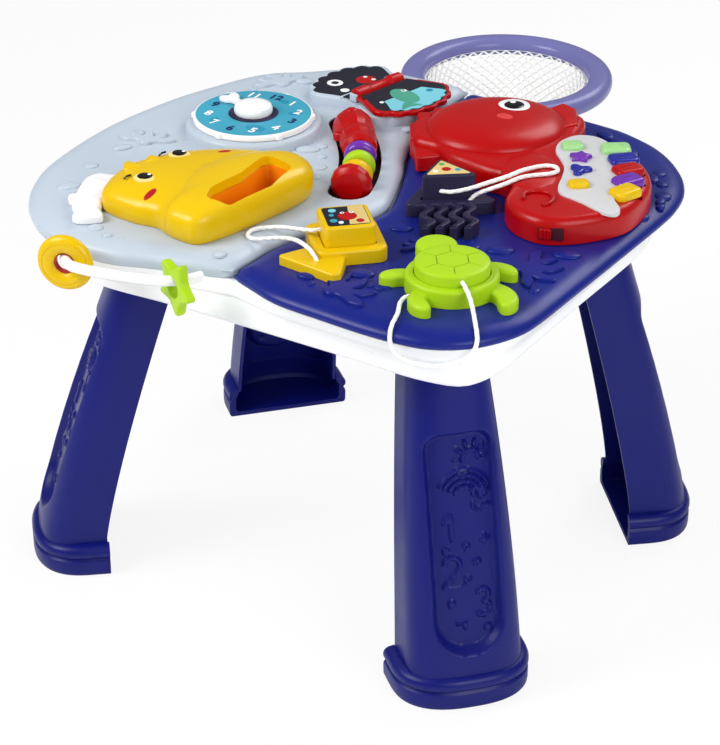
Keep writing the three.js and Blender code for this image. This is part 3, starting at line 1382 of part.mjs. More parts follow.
function makeCord(line) {
  const points = line.map((p) => new THREE.Vector3(...p));
  const length = points.reduce((sum, p, k) => sum + (k === 0 ? 0 : p.distanceTo(points[k - 1])), 0);
  return tube(points, cordRadius, cordSides, Math.round(length / cordStep));
}

// Fish: a square frame standing on a corner, and a fan tail
const fishBlockLoop = roundedLoop(boxLoop(fishBlockSize, fishBlockSize), fishFrameCorner / 2, 2);
const fishFrameLoop = roundedLoop(boxLoop(fishFrameSize, fishFrameSize), fishFrameCorner, 3);
// The tail's corners from the middle of the fish, as shares of its width and depth
const fishTailShares = [[-0.31, -0.7], [-0.52, -1.43], [0.42, -1.6], [0.5, -1.45], [0.24, -0.55]];

function onFish(geometry, turn = fishTurnDegrees) {
  return placed(geometry, fishX, fishY, sorterBottom, turn);
}

function makeFishFrame() {
  const edge = fishFrameHeight / 5;
  const ring = onFish(slab(fishFrameLoop, 0, fishFrameHeight, edge, 0, 2));
  const tailLoop = roundedLoop(
    fishTailShares.map(([a, b]) => new THREE.Vector2(a * fishTailWidth, b * fishTailDepth)),
    fishFrameCorner / 3,
    2,
  );
  const tail = onFish(slab(tailLoop, 0, fishTailHeight, edge, 0, 2), 0);
  const pocket = onFish(slab(inset(fishBlockLoop, -runningGap), sorterFloor, fishFrameHeight + cutOverrun));
  return cut(join(ring, tail), pocket, cordHole(fishCordLine, 1));
}

function makeFishBlock() {
  const body = slab(fishBlockLoop, blockBottom, fishBlockHeight, blockEdge, 0, 1);
  const well = slab(inset(fishBlockLoop, blockLabelBorder), fishBlockHeight - labelThickness, fishBlockHeight + cutOverrun);
  return cut(onFish(cut(body, well)), cordHole(fishCordLine, 0));
}

function makeFishLabel() {
  const z = fishBlockHeight - labelThickness + labelLift;
  return onFish(slab(inset(fishBlockLoop, blockLabelBorder + seatGap), z, z + labelThickness));
}

// Jellyfish: a rounded triangle with four swaying arms
function triangleLoop(size, radius) {
  const cornerShares = [[-0.36, 0.36], [-0.22, -0.5], [0.58, 0.14]];
  return roundedLoop(cornerShares.map(([a, b]) => new THREE.Vector2(a * size, b * size)), radius, 3);
}

function onJelly(geometry) {
  return placed(geometry, jellyX, jellyY, sorterBottom);
}

const jellyBlockLoop = triangleLoop(jellyBlockSize, blockLabelBorder);
const jellyFrameLoop = triangleLoop(jellyBlockSize * jellyFrameRatio, jellyFrameCorner);
// A border of one width on a triangle takes about four widths off its size
const jellyLabelSize = jellyBlockSize - 4 * blockLabelBorder;

function makeJellyFrame() {
  const ring = slab(jellyFrameLoop, 0, jellyFrameHeight, jellyFrameEdge, 0, 2);
  const bends = 4;
  const arms = Array.from({ length: armCount }, (_, k) => {
    const along = (k - (armCount - 1) / 2) * armPitch;
    const line = Array.from({ length: bends + 1 }, (_unused, i) => [
      armStart + armLength * i / bends,
      along + (i % 2 === 0 ? -1 : 1) * armSway / 2,
    ]);
    const upper = line.map(([a, b]) => new THREE.Vector2(a, b + armWidth / 2));
    const lower = line.map(([a, b]) => new THREE.Vector2(a, b - armWidth / 2));
    return placed(slab([...lower, ...upper.reverse()], 0, jellyFrameHeight), 0, 0, 0, armHeadingDegrees);
  });
  const pocket = slab(inset(jellyBlockLoop, -runningGap), sorterFloor, jellyFrameHeight + cutOverrun);
  return cut(onJelly(cut(join(ring, ...arms), pocket)), cordHole(jellyCordLine, 1));
}

function makeJellyBlock() {
  const body = slab(jellyBlockLoop, blockBottom, jellyBlockHeight, blockEdge, 0, 1);
  const well = slab(triangleLoop(jellyLabelSize + 2 * seatGap, 1), jellyBlockHeight - labelThickness, jellyBlockHeight + cutOverrun);
  return cut(onJelly(cut(body, well)), cordHole(jellyCordLine, 0));
}

function makeJellyLabel() {
  const z = jellyBlockHeight - labelThickness + labelLift;
  return onJelly(slab(triangleLoop(jellyLabelSize, 1), z, z + labelThickness));
}

// Turtle: a round frame with four flippers and a tail, and a block with shell and head
function onTurtle(geometry) {
  return placed(geometry, turtleX, turtleY, sorterBottom);
}

const headTurn = radians(turtleHeadTurnDegrees);
const turtleHeadX = turtleHeadReach * Math.cos(headTurn);
const turtleHeadY = turtleHeadReach * Math.sin(headTurn);

// A flipper's outline: a bent leaf that is widest near its root and round at its tip
function flipperLoop(rootDegrees, tipDegrees, reach, width) {
  const polar = (radius, degrees) => new THREE.Vector2(
    radius * Math.cos(radians(degrees)),
    radius * Math.sin(radians(degrees)),
  );
  const start = polar(flipperRoot, rootDegrees);
  const bend = polar(reach * flipperBendShare, rootDegrees);
  const tip = polar(reach, tipDegrees);
  const curve = new THREE.QuadraticBezierCurve(start, bend, tip);
  const last = flipperHalfShares.length - 1;
  const edges = [-1, 1].map((side) => flipperHalfShares.map((half, k) => {
    const tangent = curve.getTangent(k / last);
    return curve.getPoint(k / last).add(new THREE.Vector2(tangent.y, -tangent.x).multiplyScalar(-side * half * width));
  }));
  return [...edges[0], ...edges[1].reverse()];
}

function makeTurtleFrame() {
  const edge = turtleRingHeight / 5;
  const ring = slab(roundLoop(turtleRingRadius, 26), 0, turtleRingHeight, edge, 0, 1);
  const leaves = flippers.map((sizes) => slab(flipperLoop(...sizes), 0, flipperHeight, flipperEdge, 0, 1));
  const pocket = drum(turtleBlockRadius + runningGap, sorterFloor, turtleRingHeight + cutOverrun, 24);
  const neck = placed(drum(turtleHeadRadius + runningGap, sorterFloor, turtleRingHeight + cutOverrun, 24), turtleHeadX, turtleHeadY, 0);
  return cut(onTurtle(cut(join(ring, ...leaves), pocket, neck)), cordHole(turtleCordLine, 1));
}

function makeTurtleBlock() {
  const shell = slab(roundLoop(turtleBlockRadius, 24), blockBottom, turtleBlockHeight, turtleBlockEdge, 0, 1);
  const head = placed(slab(roundLoop(turtleHeadRadius, 20), blockBottom, turtleBlockHeight, turtleBlockEdge, 0, 1), turtleHeadX, turtleHeadY, 0);
  return cut(onTurtle(join(shell, head)), cordHole(turtleCordLine, 0));
}

// Colours of the mouldings
const navy = 0x1e267d;
const legBlue = 0x232d8c;
const paleBlue = 0xc4d4e6;
const white = 0xf2f2f2;
const red = 0xc80f0f;
const yellow = 0xfad714;
const green = 0xa5d223;
const indigo = 0x372f55;
const teal = 0x41aac3;
const lilac = 0x7d77be;
const orange = 0xe88a10;
const steel = 0xb8bcc2;
const mint = 0x9fd68a;
const keyBlue = 0x2b2fa0;
const purple = 0x7a3fb0;
const boardGreen = 0x2f7d46;
const speakerBlack = 0x222222;
const cellGrey = 0x8a8f96;
const fishPrint = 0xc9b88a;
const jellyPrint = 0x8aa05a;
const keyColours = [mint, keyBlue, red, purple, yellow];
const buttonColours = [mint, purple, keyBlue, yellow];

// Roughness of each finish
const glossy = 0.3;
const satin = 0.4;
const matt = 0.5;
const woven = 0.9;

add('base_tray', makeTray(), white, satin);
add('reef_cover', makeReefCover(), navy, satin);
add('lagoon_cover', makeLagoonCover(), paleBlue, satin);
const rightLeg = makeLeg(legLeanRight);
const leftLeg = makeLeg(legLeanLeft);
legCorners.forEach(([name, sideX, sideY]) => add(name, placeLeg(sideX > 0 ? rightLeg : leftLeg, sideX, sideY), legBlue, satin));
screwPlaces.forEach(([x, y], k) => add(`cover_screw_${k + 1}`, makeScrew(x, y), steel, glossy, 1));

add('clock_dial', makeClockDial(), white, satin);
add('dial_label', makeDialLabel(), teal, matt);
add('clock_washer', makeClockWasher(), indigo, satin);
add('clock_hand', makeClockHand(), white, glossy);

add('flip_page', makePage(), red, satin);
add('page_pin', makePagePin(), steel, glossy, 1);
add('page_label', makePageLabel(), teal, matt);
add('shell_label', makeShellLabel(), indigo, matt);

add('shrimp_frame', makeShrimp(), red, glossy);
['purple', 'green', 'yellow'].forEach((colour, k) => {
  add(`bead_${colour}`, makeBead(railBeadShares[k]), [purple, green, yellow][k], glossy);
});

add('ring_rod', rodTube(rodRadius, 8), white, glossy);
add('ring_yellow', onRod(makeRing(), ringShare, ringTurnDegrees, ringInnerRadius), yellow, glossy);
add('star_green', onRod(makeStar(), starShare, starTurnDegrees, starHoleRadius), green, glossy);

add('hoop', makeHoop(), lilac, glossy);
add('hoop_net', makeNet(), white, woven);

add('music_top', makeMusicTop(), red, glossy);
add('music_base', makeMusicBase(), red, matt);
add('key_bezel', makeBezel(), white, glossy);
keyNames.forEach((name, k) => add(name, makeKey(k), keyColours[k], glossy));
buttonNames.forEach((name, k) => add(name, makeButton(k), buttonColours[k], glossy));
add('switch_knob', makeSwitch(), red, satin);
add('circuit_board', makeBoard(), boardGreen, matt);
add('speaker', makeSpeaker(), speakerBlack, matt);
[-1, 1].forEach((side, k) => add(`battery_${k + 1}`, makeBattery(side), cellGrey, satin, 0.6));
add('battery_door', makeDoor(), red, matt);

add('puffer_shell', makePuffer(), yellow, glossy);
add('puffer_throat', makeThroat(), orange, satin);
add('puffer_fin', makeFin(), white, satin);

add('fish_frame', makeFishFrame(), yellow, glossy);
add('fish_block', makeFishBlock(), yellow, glossy);
add('fish_label', makeFishLabel(), fishPrint, matt);
add('jelly_frame', makeJellyFrame(), indigo, satin);
add('jelly_block', makeJellyBlock(), indigo, satin);
add('jelly_label', makeJellyLabel(), jellyPrint, matt);
add('turtle_frame', makeTurtleFrame(), green, glossy);
add('turtle_block', makeTurtleBlock(), green, glossy);

add('fish_cord', makeCord(fishCordLine), white, woven);
add('jelly_cord', makeCord(jellyCordLine), white, woven);
add('turtle_cord', makeCord(turtleCordLine), white, woven);

const middle = new THREE.Box3().setFromObject(table).getCenter(new THREE.Vector3());
table.position.set(-middle.x, -middle.y, 0);

export default table;
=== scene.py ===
"""The finished look of a children's activity table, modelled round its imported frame.

Sizes are in millimetres from the floor under the middle of the table top, and at() turns them
into the frame's metres. Every piece is made at its place, with its object at the origin.
"""

import math

import bmesh
import bpy
import numpy as np
from mathutils import Matrix, Vector


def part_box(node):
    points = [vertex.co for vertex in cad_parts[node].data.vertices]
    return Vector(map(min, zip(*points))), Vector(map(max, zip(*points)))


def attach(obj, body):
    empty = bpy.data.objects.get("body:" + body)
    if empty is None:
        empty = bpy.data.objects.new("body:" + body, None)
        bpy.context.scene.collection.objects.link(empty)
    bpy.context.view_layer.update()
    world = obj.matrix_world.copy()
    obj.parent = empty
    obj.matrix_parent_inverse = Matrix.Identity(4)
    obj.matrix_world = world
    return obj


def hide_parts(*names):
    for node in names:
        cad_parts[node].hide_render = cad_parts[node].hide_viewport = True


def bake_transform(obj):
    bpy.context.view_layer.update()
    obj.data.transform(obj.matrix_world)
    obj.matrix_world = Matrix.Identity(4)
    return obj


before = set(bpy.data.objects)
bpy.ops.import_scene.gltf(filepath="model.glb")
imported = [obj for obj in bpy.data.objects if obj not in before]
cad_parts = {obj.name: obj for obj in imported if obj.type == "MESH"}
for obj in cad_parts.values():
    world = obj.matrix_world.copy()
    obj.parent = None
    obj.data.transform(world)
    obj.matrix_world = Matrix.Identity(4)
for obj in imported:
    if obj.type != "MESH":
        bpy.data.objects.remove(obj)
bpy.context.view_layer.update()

mm = 0.001
table_middle = (1.3208, -64.7262)


def at(x, y, z):
    """A place on the table, in millimetres, as a point of the frame in metres."""
    return Vector(((x + table_middle[0]) * mm, (y + table_middle[1]) * mm, z * mm))


# Table top
table_width = 478
table_depth = 430
deck_top = 328
lagoon_top = 332
cover_bottom = 316
shoulder_width = 17
shoulder_height = 8
tray_top = 315.7
tray_bottom = 281.7
seam_gap = 0.5
reef_edge_shares = [
    (0.015, -0.875), (0.12, -0.92), (0.23, -0.96), (0.4, -0.975), (0.565, -0.985), (0.685, -0.98),
    (0.78, -0.96), (0.865, -0.905), (0.93, -0.825), (0.98, -0.705), (0.992, -0.585), (0.99, -0.35),
    (0.985, 0.06), (0.98, 0.335), (0.97, 0.47), (0.94, 0.6), (0.88, 0.72), (0.79, 0.83),
    (0.7, 0.905), (0.6, 0.955), (0.5, 0.985), (0.3, 1), (0.1, 1), (-0.113, 0.99),
]
lagoon_edge_shares = [
    (-0.113, 0.99), (-0.3, 0.985), (-0.45, 0.965), (-0.6, 0.89), (-0.71, 0.78), (-0.8, 0.7),
    (-0.86, 0.6), (-0.915, 0.44), (-0.965, 0.26), (-1, 0.03), (-1.01, -0.15), (-1, -0.34),
    (-0.975, -0.53), (-0.935, -0.66), (-0.87, -0.79), (-0.78, -0.905), (-0.66, -0.985), (-0.5, -1.02),
    (-0.38, -1.015), (-0.25, -0.965), (-0.12, -0.925), (0.015, -0.875),
]
seam_shares = [
    (0.015, -0.875), (0.021, -0.77), (0.027, -0.628), (0.077, -0.458), (0.152, -0.288),
    (0.177, -0.168), (0.157, -0.068), (0.077, 0.142), (0.017, 0.272), (-0.053, 0.472),
    (-0.093, 0.672), (-0.11, 0.85), (-0.113, 0.99),
]
tray_foot_shares = [
    (0.05, -0.885), (0.43, -0.885), (0.64, -0.89), (0.74, -0.885), (0.84, -0.86), (0.88, -0.8),
    (0.9, -0.68), (0.895, -0.45), (0.885, -0.1), (0.88, 0.2), (0.87, 0.4), (0.83, 0.56),
    (0.75, 0.7), (0.62, 0.81), (0.45, 0.88), (0.2, 0.9), (-0.1, 0.89), (-0.4, 0.85),
    (-0.58, 0.76), (-0.7, 0.63), (-0.79, 0.5), (-0.85, 0.33), (-0.89, 0.1), (-0.9, -0.12),
    (-0.88, -0.35), (-0.84, -0.55), (-0.77, -0.72), (-0.66, -0.84), (-0.5, -0.9), (-0.26, -0.89),
    (-0.1, -0.885),
]

# Cords, each as points along its centre line
cord_radius = 1.75
fish_cord_line = [
    (48, -127.6, 346.5), (44.2, -130, 346.4), (38.5, -132.3, 345.3), (28.5, -131.5, 343.2),
    (17, -129, 340.4), (5, -127, 337.4), (-4.5, -128, 335), (-11, -132, 334.2),
    (-13.3, -138.5, 334.1), (-11.8, -145, 334.1), (-7, -149.5, 334.2), (0, -149.7, 334.9),
    (9, -147.3, 336.8), (19, -146.7, 339.6), (29, -148.2, 342.2), (39, -150.9, 343.8),
    (48, -154, 343.3), (54.9, -156.2, 341), (59, -157.4, 337.6), (62.2, -158.2, 333.7),
]
jelly_cord_line = [
    (79, -16.5, 345.5), (85, -17.8, 345.9), (90.5, -17.6, 346.4), (95.5, -15, 347),
    (100, -11.4, 347.9), (104.3, -7.6, 349), (108.7, -3.7, 350.4), (113.2, 0.2, 352.2),
    (117.6, 4.2, 353.8), (121.6, 9, 355), (124.9, 15, 355.7), (127, 22, 355.9), (128.6, 33, 355.2),
    (130.6, 42.5, 353.9), (133.2, 50.3, 353.1), (138.4, 56.4, 352.8), (145.4, 57.2, 352.8),
    (150, 51.4, 352.8), (147.6, 44, 352.8), (141.5, 37.6, 352.8), (135.5, 31, 352.8),
    (131.6, 23.5, 352.9), (129.2, 15.8, 352.7), (126.2, 8.6, 351.8), (121.6, 3.2, 350.2),
    (115.8, -0.3, 347.6), (110, -2.7, 344.5), (106, -5.2, 341), (103.8, -7.8, 336.8),
]
turtle_cord_line = [
    (178.5, -145, 346.6), (182.6, -148.8, 346.5), (188, -153.4, 345.6), (194, -158.2, 342.6),
    (199.5, -163.2, 338.2), (204.5, -168.6, 333.8), (209.2, -174.4, 331), (213.9, -180.3, 328.3),
    (217.3, -185.4, 323.8), (217.5, -189.2, 318.6), (215.2, -192.2, 314.3), (210.8, -195, 310.7),
    (205, -198.8, 307.8), (197.4, -203.2, 306.1), (187.4, -207.4, 305.3), (178, -210.2, 306.1),
    (170.5, -212.4, 308.5), (165, -213.6, 313), (161.4, -213.6, 318.6), (159.4, -211.2, 324.6),
    (157.5, -205.6, 329.2), (155.2, -197.5, 330.4), (151.8, -188.4, 330.3), (147.8, -180.4, 330.4),
    (145.2, -174, 331.4), (146.6, -168.8, 333.4), (151, -164.6, 334.3),
]


# Camera at the photograph's angle
camera_place = (1075.23, -1667.82, 1218.87)
camera_right = (0.8399, 0.5428, 0)
camera_above = (-0.2572, 0.3979, 0.8807)
camera_back = (0.4781, -0.7396, 0.4738)
camera_lens = 129.71
camera_film_width = 36


def place_camera():
    """The camera that sees the table as the photograph does."""
    data = bpy.data.cameras.new("camera")
    data.sensor_width = camera_film_width
    data.lens = camera_lens
    camera = bpy.data.objects.new("camera", data)
    bpy.context.scene.collection.objects.link(camera)
    turn = Matrix((camera_right, camera_above, camera_back)).transposed().to_4x4()
    camera.matrix_world = Matrix.Translation(at(*camera_place)) @ turn
    bpy.context.scene.camera = camera


# Outlines in the plane of the table
fine_steps = 12


def catmull(before, start, end, after, share):
    """A point of the smooth stretch from start to end."""
    square = share * share
    cube = square * share
    return 0.5 * (
        2 * start + (end - before) * share
        + (2 * before - 5 * start + 4 * end - after) * square
        + (3 * start - before - 3 * end + after) * cube
    )


def smooth(points, count, closed=True):
    """Evenly spaced points of a smooth line through the given points."""
    given = np.array(points, float)
    total = len(given)
    fine = []
    for k in range(total if closed else total - 1):
        if closed:
            four = [given[(k + step) % total] for step in (-1, 0, 1, 2)]
        else:
            four = [given[min(max(k + step, 0), total - 1)] for step in (-1, 0, 1, 2)]
        fine += [catmull(*four, i / fine_steps) for i in range(fine_steps)]
    fine.append(given[0] if closed else given[-1])
    fine = np.array(fine)
    reach = np.concatenate([[0], np.cumsum(np.linalg.norm(np.diff(fine, axis=0), axis=1))])
    wanted = np.linspace(0, reach[-1], count + 1 if closed else count)
    spaced = np.stack([np.interp(wanted, reach, fine[:, i]) for i in range(fine.shape[1])], axis=1)
    return spaced[:-1] if closed else spaced


def scaled(shares, width, depth, x=0, y=0):
    """A table of shares as points about a middle."""
    return np.array([(x + a * width / 2, y + b * depth / 2) for a, b in shares], float)


def circle(radius, sides=64, x=0, y=0, stretch=1):
    """A circle, or an ellipse where its depth is stretched."""
    turns = np.arange(sides) * 2 * math.pi / sides
    return np.stack([x + radius * np.cos(turns), y + radius * stretch * np.sin(turns)], axis=1)


def polar(radius, degrees, x=0, y=0):
    """A place at a distance and a bearing from a middle."""
    angle = math.radians(degrees)
    return x + radius * math.cos(angle), y + radius * math.sin(angle)


def turned(outline, degrees, x=0, y=0):
    """An outline turned about zero and moved."""
    angle = math.radians(degrees)
    points = np.array(outline, float)
    across = points[:, 0] * math.cos(angle) - points[:, 1] * math.sin(angle)
    along = points[:, 0] * math.sin(angle) + points[:, 1] * math.cos(angle)
    return np.stack([across + x, along + y], axis=1)


def rounded_box(width, depth, corner, steps=6):
    """A rectangle with round corners."""
    points = []
    for k, (a, b) in enumerate(((1, 1), (-1, 1), (-1, -1), (1, -1))):
        for i in range(steps + 1):
            angle = (k + i / steps) * math.pi / 2
            points.append((
                a * (width / 2 - corner) + corner * math.cos(angle),
                b * (depth / 2 - corner) + corner * math.sin(angle),
            ))
    return np.array(points)


def rounded_corners(corners, radius, steps=6):
    """A polygon with each corner rounded."""
    points = []
    total = len(corners)
    for k in range(total):
        corner = Vector(corners[k])
        before = (Vector(corners[k - 1]) - corner).normalized()
        after = (Vector(corners[(k + 1) % total]) - corner).normalized()
        half = math.acos(max(-1, min(1, before.dot(after)))) / 2
        reach = min(radius / math.tan(half), 12)
        start, end = corner + before * reach, corner + after * reach
        for i in range(steps + 1):
            share = i / steps
            first = start.lerp(corner, share)
            points.append(first.lerp(corner.lerp(end, share), share))
    return np.array([(p.x, p.y) for p in points])


def shrunk(outline, distance):
    """The outline moved inwards; a point that would cross over joins the nearest sound one."""
    points = np.array(outline, float)
    if abs(distance) < 1e-6:
        return points
    ahead, behind = np.roll(points, -1, axis=0), np.roll(points, 1, axis=0)
    area = np.sum(points[:, 0] * ahead[:, 1] - ahead[:, 0] * points[:, 1])
    inward = distance if area > 0 else -distance
    along = ahead - behind
    along /= np.linalg.norm(along, axis=1, keepdims=True) + 1e-12
    moved = points + inward * np.stack([-along[:, 1], along[:, 0]], axis=1)
    step = ahead - points
    length = np.sum(step * step, axis=1) + 1e-12
    gaps = moved[:, None, :] - points[None, :, :]
    share = np.clip(np.sum(gaps * step[None], axis=2) / length[None], 0, 1)
    nearest = np.linalg.norm(gaps - share[..., None] * step[None], axis=2).min(axis=1)
    sound = np.nonzero(nearest >= abs(distance) * 0.96)[0]
    if len(sound) == 0:
        return moved
    total = len(points)
    for k in range(total):
        if nearest[k] < abs(distance) * 0.96:
            span = np.abs(sound - k)
            moved[k] = moved[sound[np.argmin(np.minimum(span, total - span))]]
    return moved


def toward(outline, factor, x, y):
    """The outline scaled about a point."""
    return (np.array(outline, float) - (x, y)) * factor + (x, y)


def round_rings(outline, bottom, top, top_round=0, bottom_round=0, width=None, steps=5):
    """Rings up a plate with a round top edge and a round bottom edge."""
    rings = []
    width = top_round if width is None else width
    if bottom_round:
        for k in range(steps, -1, -1):
            angle = k / steps * math.pi / 2
            side = bottom_round * (1 - math.cos(angle))
            rings.append((shrunk(outline, side), bottom + bottom_round * (1 - math.sin(angle))))
    else:
        rings.append((outline, bottom))
    if top_round:
        for k in range(steps + 1):
            angle = k / steps * math.pi / 2
            side = width * (1 - math.cos(angle))
            rings.append((shrunk(outline, side), top - top_round + top_round * math.sin(angle)))
    else:
        rings.append((outline, top))
    return rings


def dome_rings(outline, bottom, top, x, y, steps=9, power=2.0, crown=0.04):
    """Rings of a dome on an outline, drawn in about a point."""
    rings = []
    for k in range(steps + 1):
        share = k / steps
        rise = share * math.pi / 2
        factor = max(crown, math.cos(rise) ** (2 / power))
        rings.append((toward(outline, factor, x, y), bottom + (top - bottom) * math.sin(rise) ** (2 / power)))
    return rings


def squarer(value, power):
    """A sine or cosine drawn towards its ends, which squares a circle a little."""
    return math.copysign(abs(value) ** power, value)


def ring_section(radius, half_width, half_height, steps, power=1):
    """The round section of a ring, as radius and height."""
    turns = [2 * math.pi * k / steps for k in range(steps)]
    widths = [half_width * squarer(math.cos(turn), power) for turn in turns]
    heights = [half_height * squarer(math.sin(turn), power) for turn in turns]
    return [(radius + width, height) for width, height in zip(widths, heights)]


def star_outline(radius, inner, count, turn=0):
    """A five-pointed star with soft tips."""
    points = [polar(radius if k % 2 == 0 else inner, k * 36 + turn) for k in range(10)]
    return smooth(points, count)


# Making pieces
def from_middle(x, y, z):
    """A place round a piece's own middle, in metres, for a piece that is turned and then set down."""
    return Vector((x, y, z)) * mm


def clear():
    """Object mode, with nothing selected."""
    if bpy.context.mode != "OBJECT":
        bpy.ops.object.mode_set(mode="OBJECT")
    bpy.ops.object.select_all(action="DESELECT")


def pick(piece):
    """Only this piece selected, and active."""
    clear()
    piece.select_set(True)
    bpy.context.view_layer.objects.active = piece


def tidy(piece, merge=0.00003):
    """Doubles merged and faces turned outwards."""
    pick(piece)
    bpy.ops.object.mode_set(mode="EDIT")
    bpy.ops.mesh.select_all(action="SELECT")
    bpy.ops.mesh.remove_doubles(threshold=merge)
    bpy.ops.mesh.normals_make_consistent(inside=False)
    bpy.ops.object.mode_set(mode="OBJECT")
    return piece


def solid(name, rings, spot=at):
    """A filled circle takes the first ring's outline and is extruded to each next ring."""
    clear()
    bpy.ops.mesh.primitive_circle_add(vertices=len(rings[0][0]), fill_type="NGON")
    piece = bpy.context.object
    piece.name = name
    bpy.ops.object.mode_set(mode="EDIT")
    net = bmesh.from_edit_mesh(piece.data)
    place = net.verts.layers.int.new("place")
    for k, vertex in enumerate(net.verts):
        vertex[place] = k
    for level, (outline, height) in enumerate(rings):
        if level:
            bpy.ops.mesh.extrude_region_move()
            net = bmesh.from_edit_mesh(piece.data)
            place = net.verts.layers.int["place"]
        for vertex in net.verts:
            if vertex.select:
                x, y = outline[vertex[place]]
                vertex.co = spot(x, y, height)
        bmesh.update_edit_mesh(piece.data)
    net.verts.layers.int.remove(place)
    bmesh.update_edit_mesh(piece.data)
    bpy.ops.object.mode_set(mode="OBJECT")
    return tidy(piece)


def plate(name, outline, bottom, top, top_round=0, bottom_round=0, spot=at, **edge):
    """A plate on an outline, its top and bottom edges round where a radius is given."""
    return solid(name, round_rings(outline, bottom, top, top_round, bottom_round, **edge), spot)


def spun(name, profile, steps=64):
    """A closed profile of radius and height, spun about the upright axis at zero."""
    clear()
    bpy.ops.mesh.primitive_circle_add(vertices=len(profile), fill_type="NOTHING")
    piece = bpy.context.object
    piece.name = name
    for vertex, (radius, height) in zip(piece.data.vertices, profile):
        vertex.co = (radius * mm, 0, height * mm)
    bpy.ops.object.mode_set(mode="EDIT")
    bpy.ops.mesh.select_all(action="SELECT")
    bpy.ops.mesh.spin(steps=steps, angle=2 * math.pi, center=(0, 0, 0), axis=(0, 0, 1))
    bpy.ops.object.mode_set(mode="OBJECT")
    return tidy(piece)


def move(piece, place, turn=None):
    """The piece's mesh turned and set down at a point of the frame."""
    matrix = Matrix.Translation(place)
    if turn is not None:
        matrix = matrix @ turn
    piece.data.transform(matrix)
    return piece


def wrapped_grid(name, columns, rows, places, merge=0.000001):
    """A grid whose points are put at the given places, row by row."""
    clear()
    bpy.ops.mesh.primitive_grid_add(x_subdivisions=columns - 1, y_subdivisions=rows - 1)
    piece = bpy.context.object
    piece.name = name
    piece.data.vertices.foreach_set("co", np.array(places).ravel())
    return tidy(piece, merge)


def tube(name, points, radius, sides=16, swell=None):
    """A closed round tube along points of the frame, in metres: a grid wrapped round the line."""
    places = []
    side = None
    for k, point in enumerate(points):
        ahead = points[min(k + 1, len(points) - 1)]
        behind = points[max(k - 1, 0)]
        along = (ahead - behind).normalized()
        if side is None:
            side = along.orthogonal().normalized()
        side = (side - along * side.dot(along)).normalized()
        other = along.cross(side)
        for i in range(sides + 1):
            angle = i % sides * 2 * math.pi / sides
            reach = radius * mm * (1 if swell is None else swell(k, i % sides))
            places.append(point + (side * math.cos(angle) + other * math.sin(angle)) * reach)
    piece = wrapped_grid(name, sides + 1, len(points), places)
    bpy.ops.object.mode_set(mode="EDIT")
    bpy.ops.mesh.select_all(action="SELECT")
    bpy.ops.mesh.fill_holes(sides=0)
    bpy.ops.mesh.normals_make_consistent(inside=False)
    bpy.ops.object.mode_set(mode="OBJECT")
    return piece


def frame_line(points, count):
    """Table points as evenly spaced points of the frame."""
    return [at(*p) for p in smooth(points, count, closed=False)]


def cut(piece, *tools, several_shells=False):
    """Each tool's space is taken out of the piece."""
    for tool in tools:
        pick(piece)
        modifier = piece.modifiers.new("cut", "BOOLEAN")
        modifier.operation = "DIFFERENCE"
        modifier.solver = "EXACT"
        modifier.use_self = several_shells
        modifier.object = tool
        bpy.ops.object.modifier_apply(modifier=modifier.name)
        bpy.data.objects.remove(tool)
    return piece


def joined(name, *pieces):
    """Several pieces as one mesh."""
    pick(pieces[0])
    for piece in pieces[1:]:
        piece.select_set(True)
    bpy.ops.object.join()
    pieces[0].name = name
    return pieces[0]


def copied(piece, name):
    """A copy with a mesh of its own."""
    copy = bpy.data.objects.new(name, piece.data.copy())
    bpy.context.scene.collection.objects.link(copy)
    return copy


def dress(piece, finish_slot, material, *nodes, angle=35):
    """The piece's shading, its material and the nodes that it stands for."""
    pick(piece)
    bpy.ops.object.shade_smooth_by_angle(angle=math.radians(angle))
    piece.data.materials.clear()
    piece.data.materials.append(material)
    if nodes:
        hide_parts(*nodes)
    return piece


def finish(piece, body, finish_slot, material, *nodes, angle=35):
    """A dressed piece that rides one body."""
    dress(piece, finish_slot, material, *nodes, angle=angle)
    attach(piece, body)
    return piece


# Materials
specular_level = 0.26
coat_roughness = 0.08
tint_scale = 9
smear_scale = 40
grain_height = 0.0005


def linear(colour):
    """A colour of 0 to 255 a channel as the shader's own numbers."""
    shares = [c / 255 for c in colour]
    return [s / 12.92 if s <= 0.04045 else ((s + 0.055) / 1.055) ** 2.4 for s in shares] + [1]


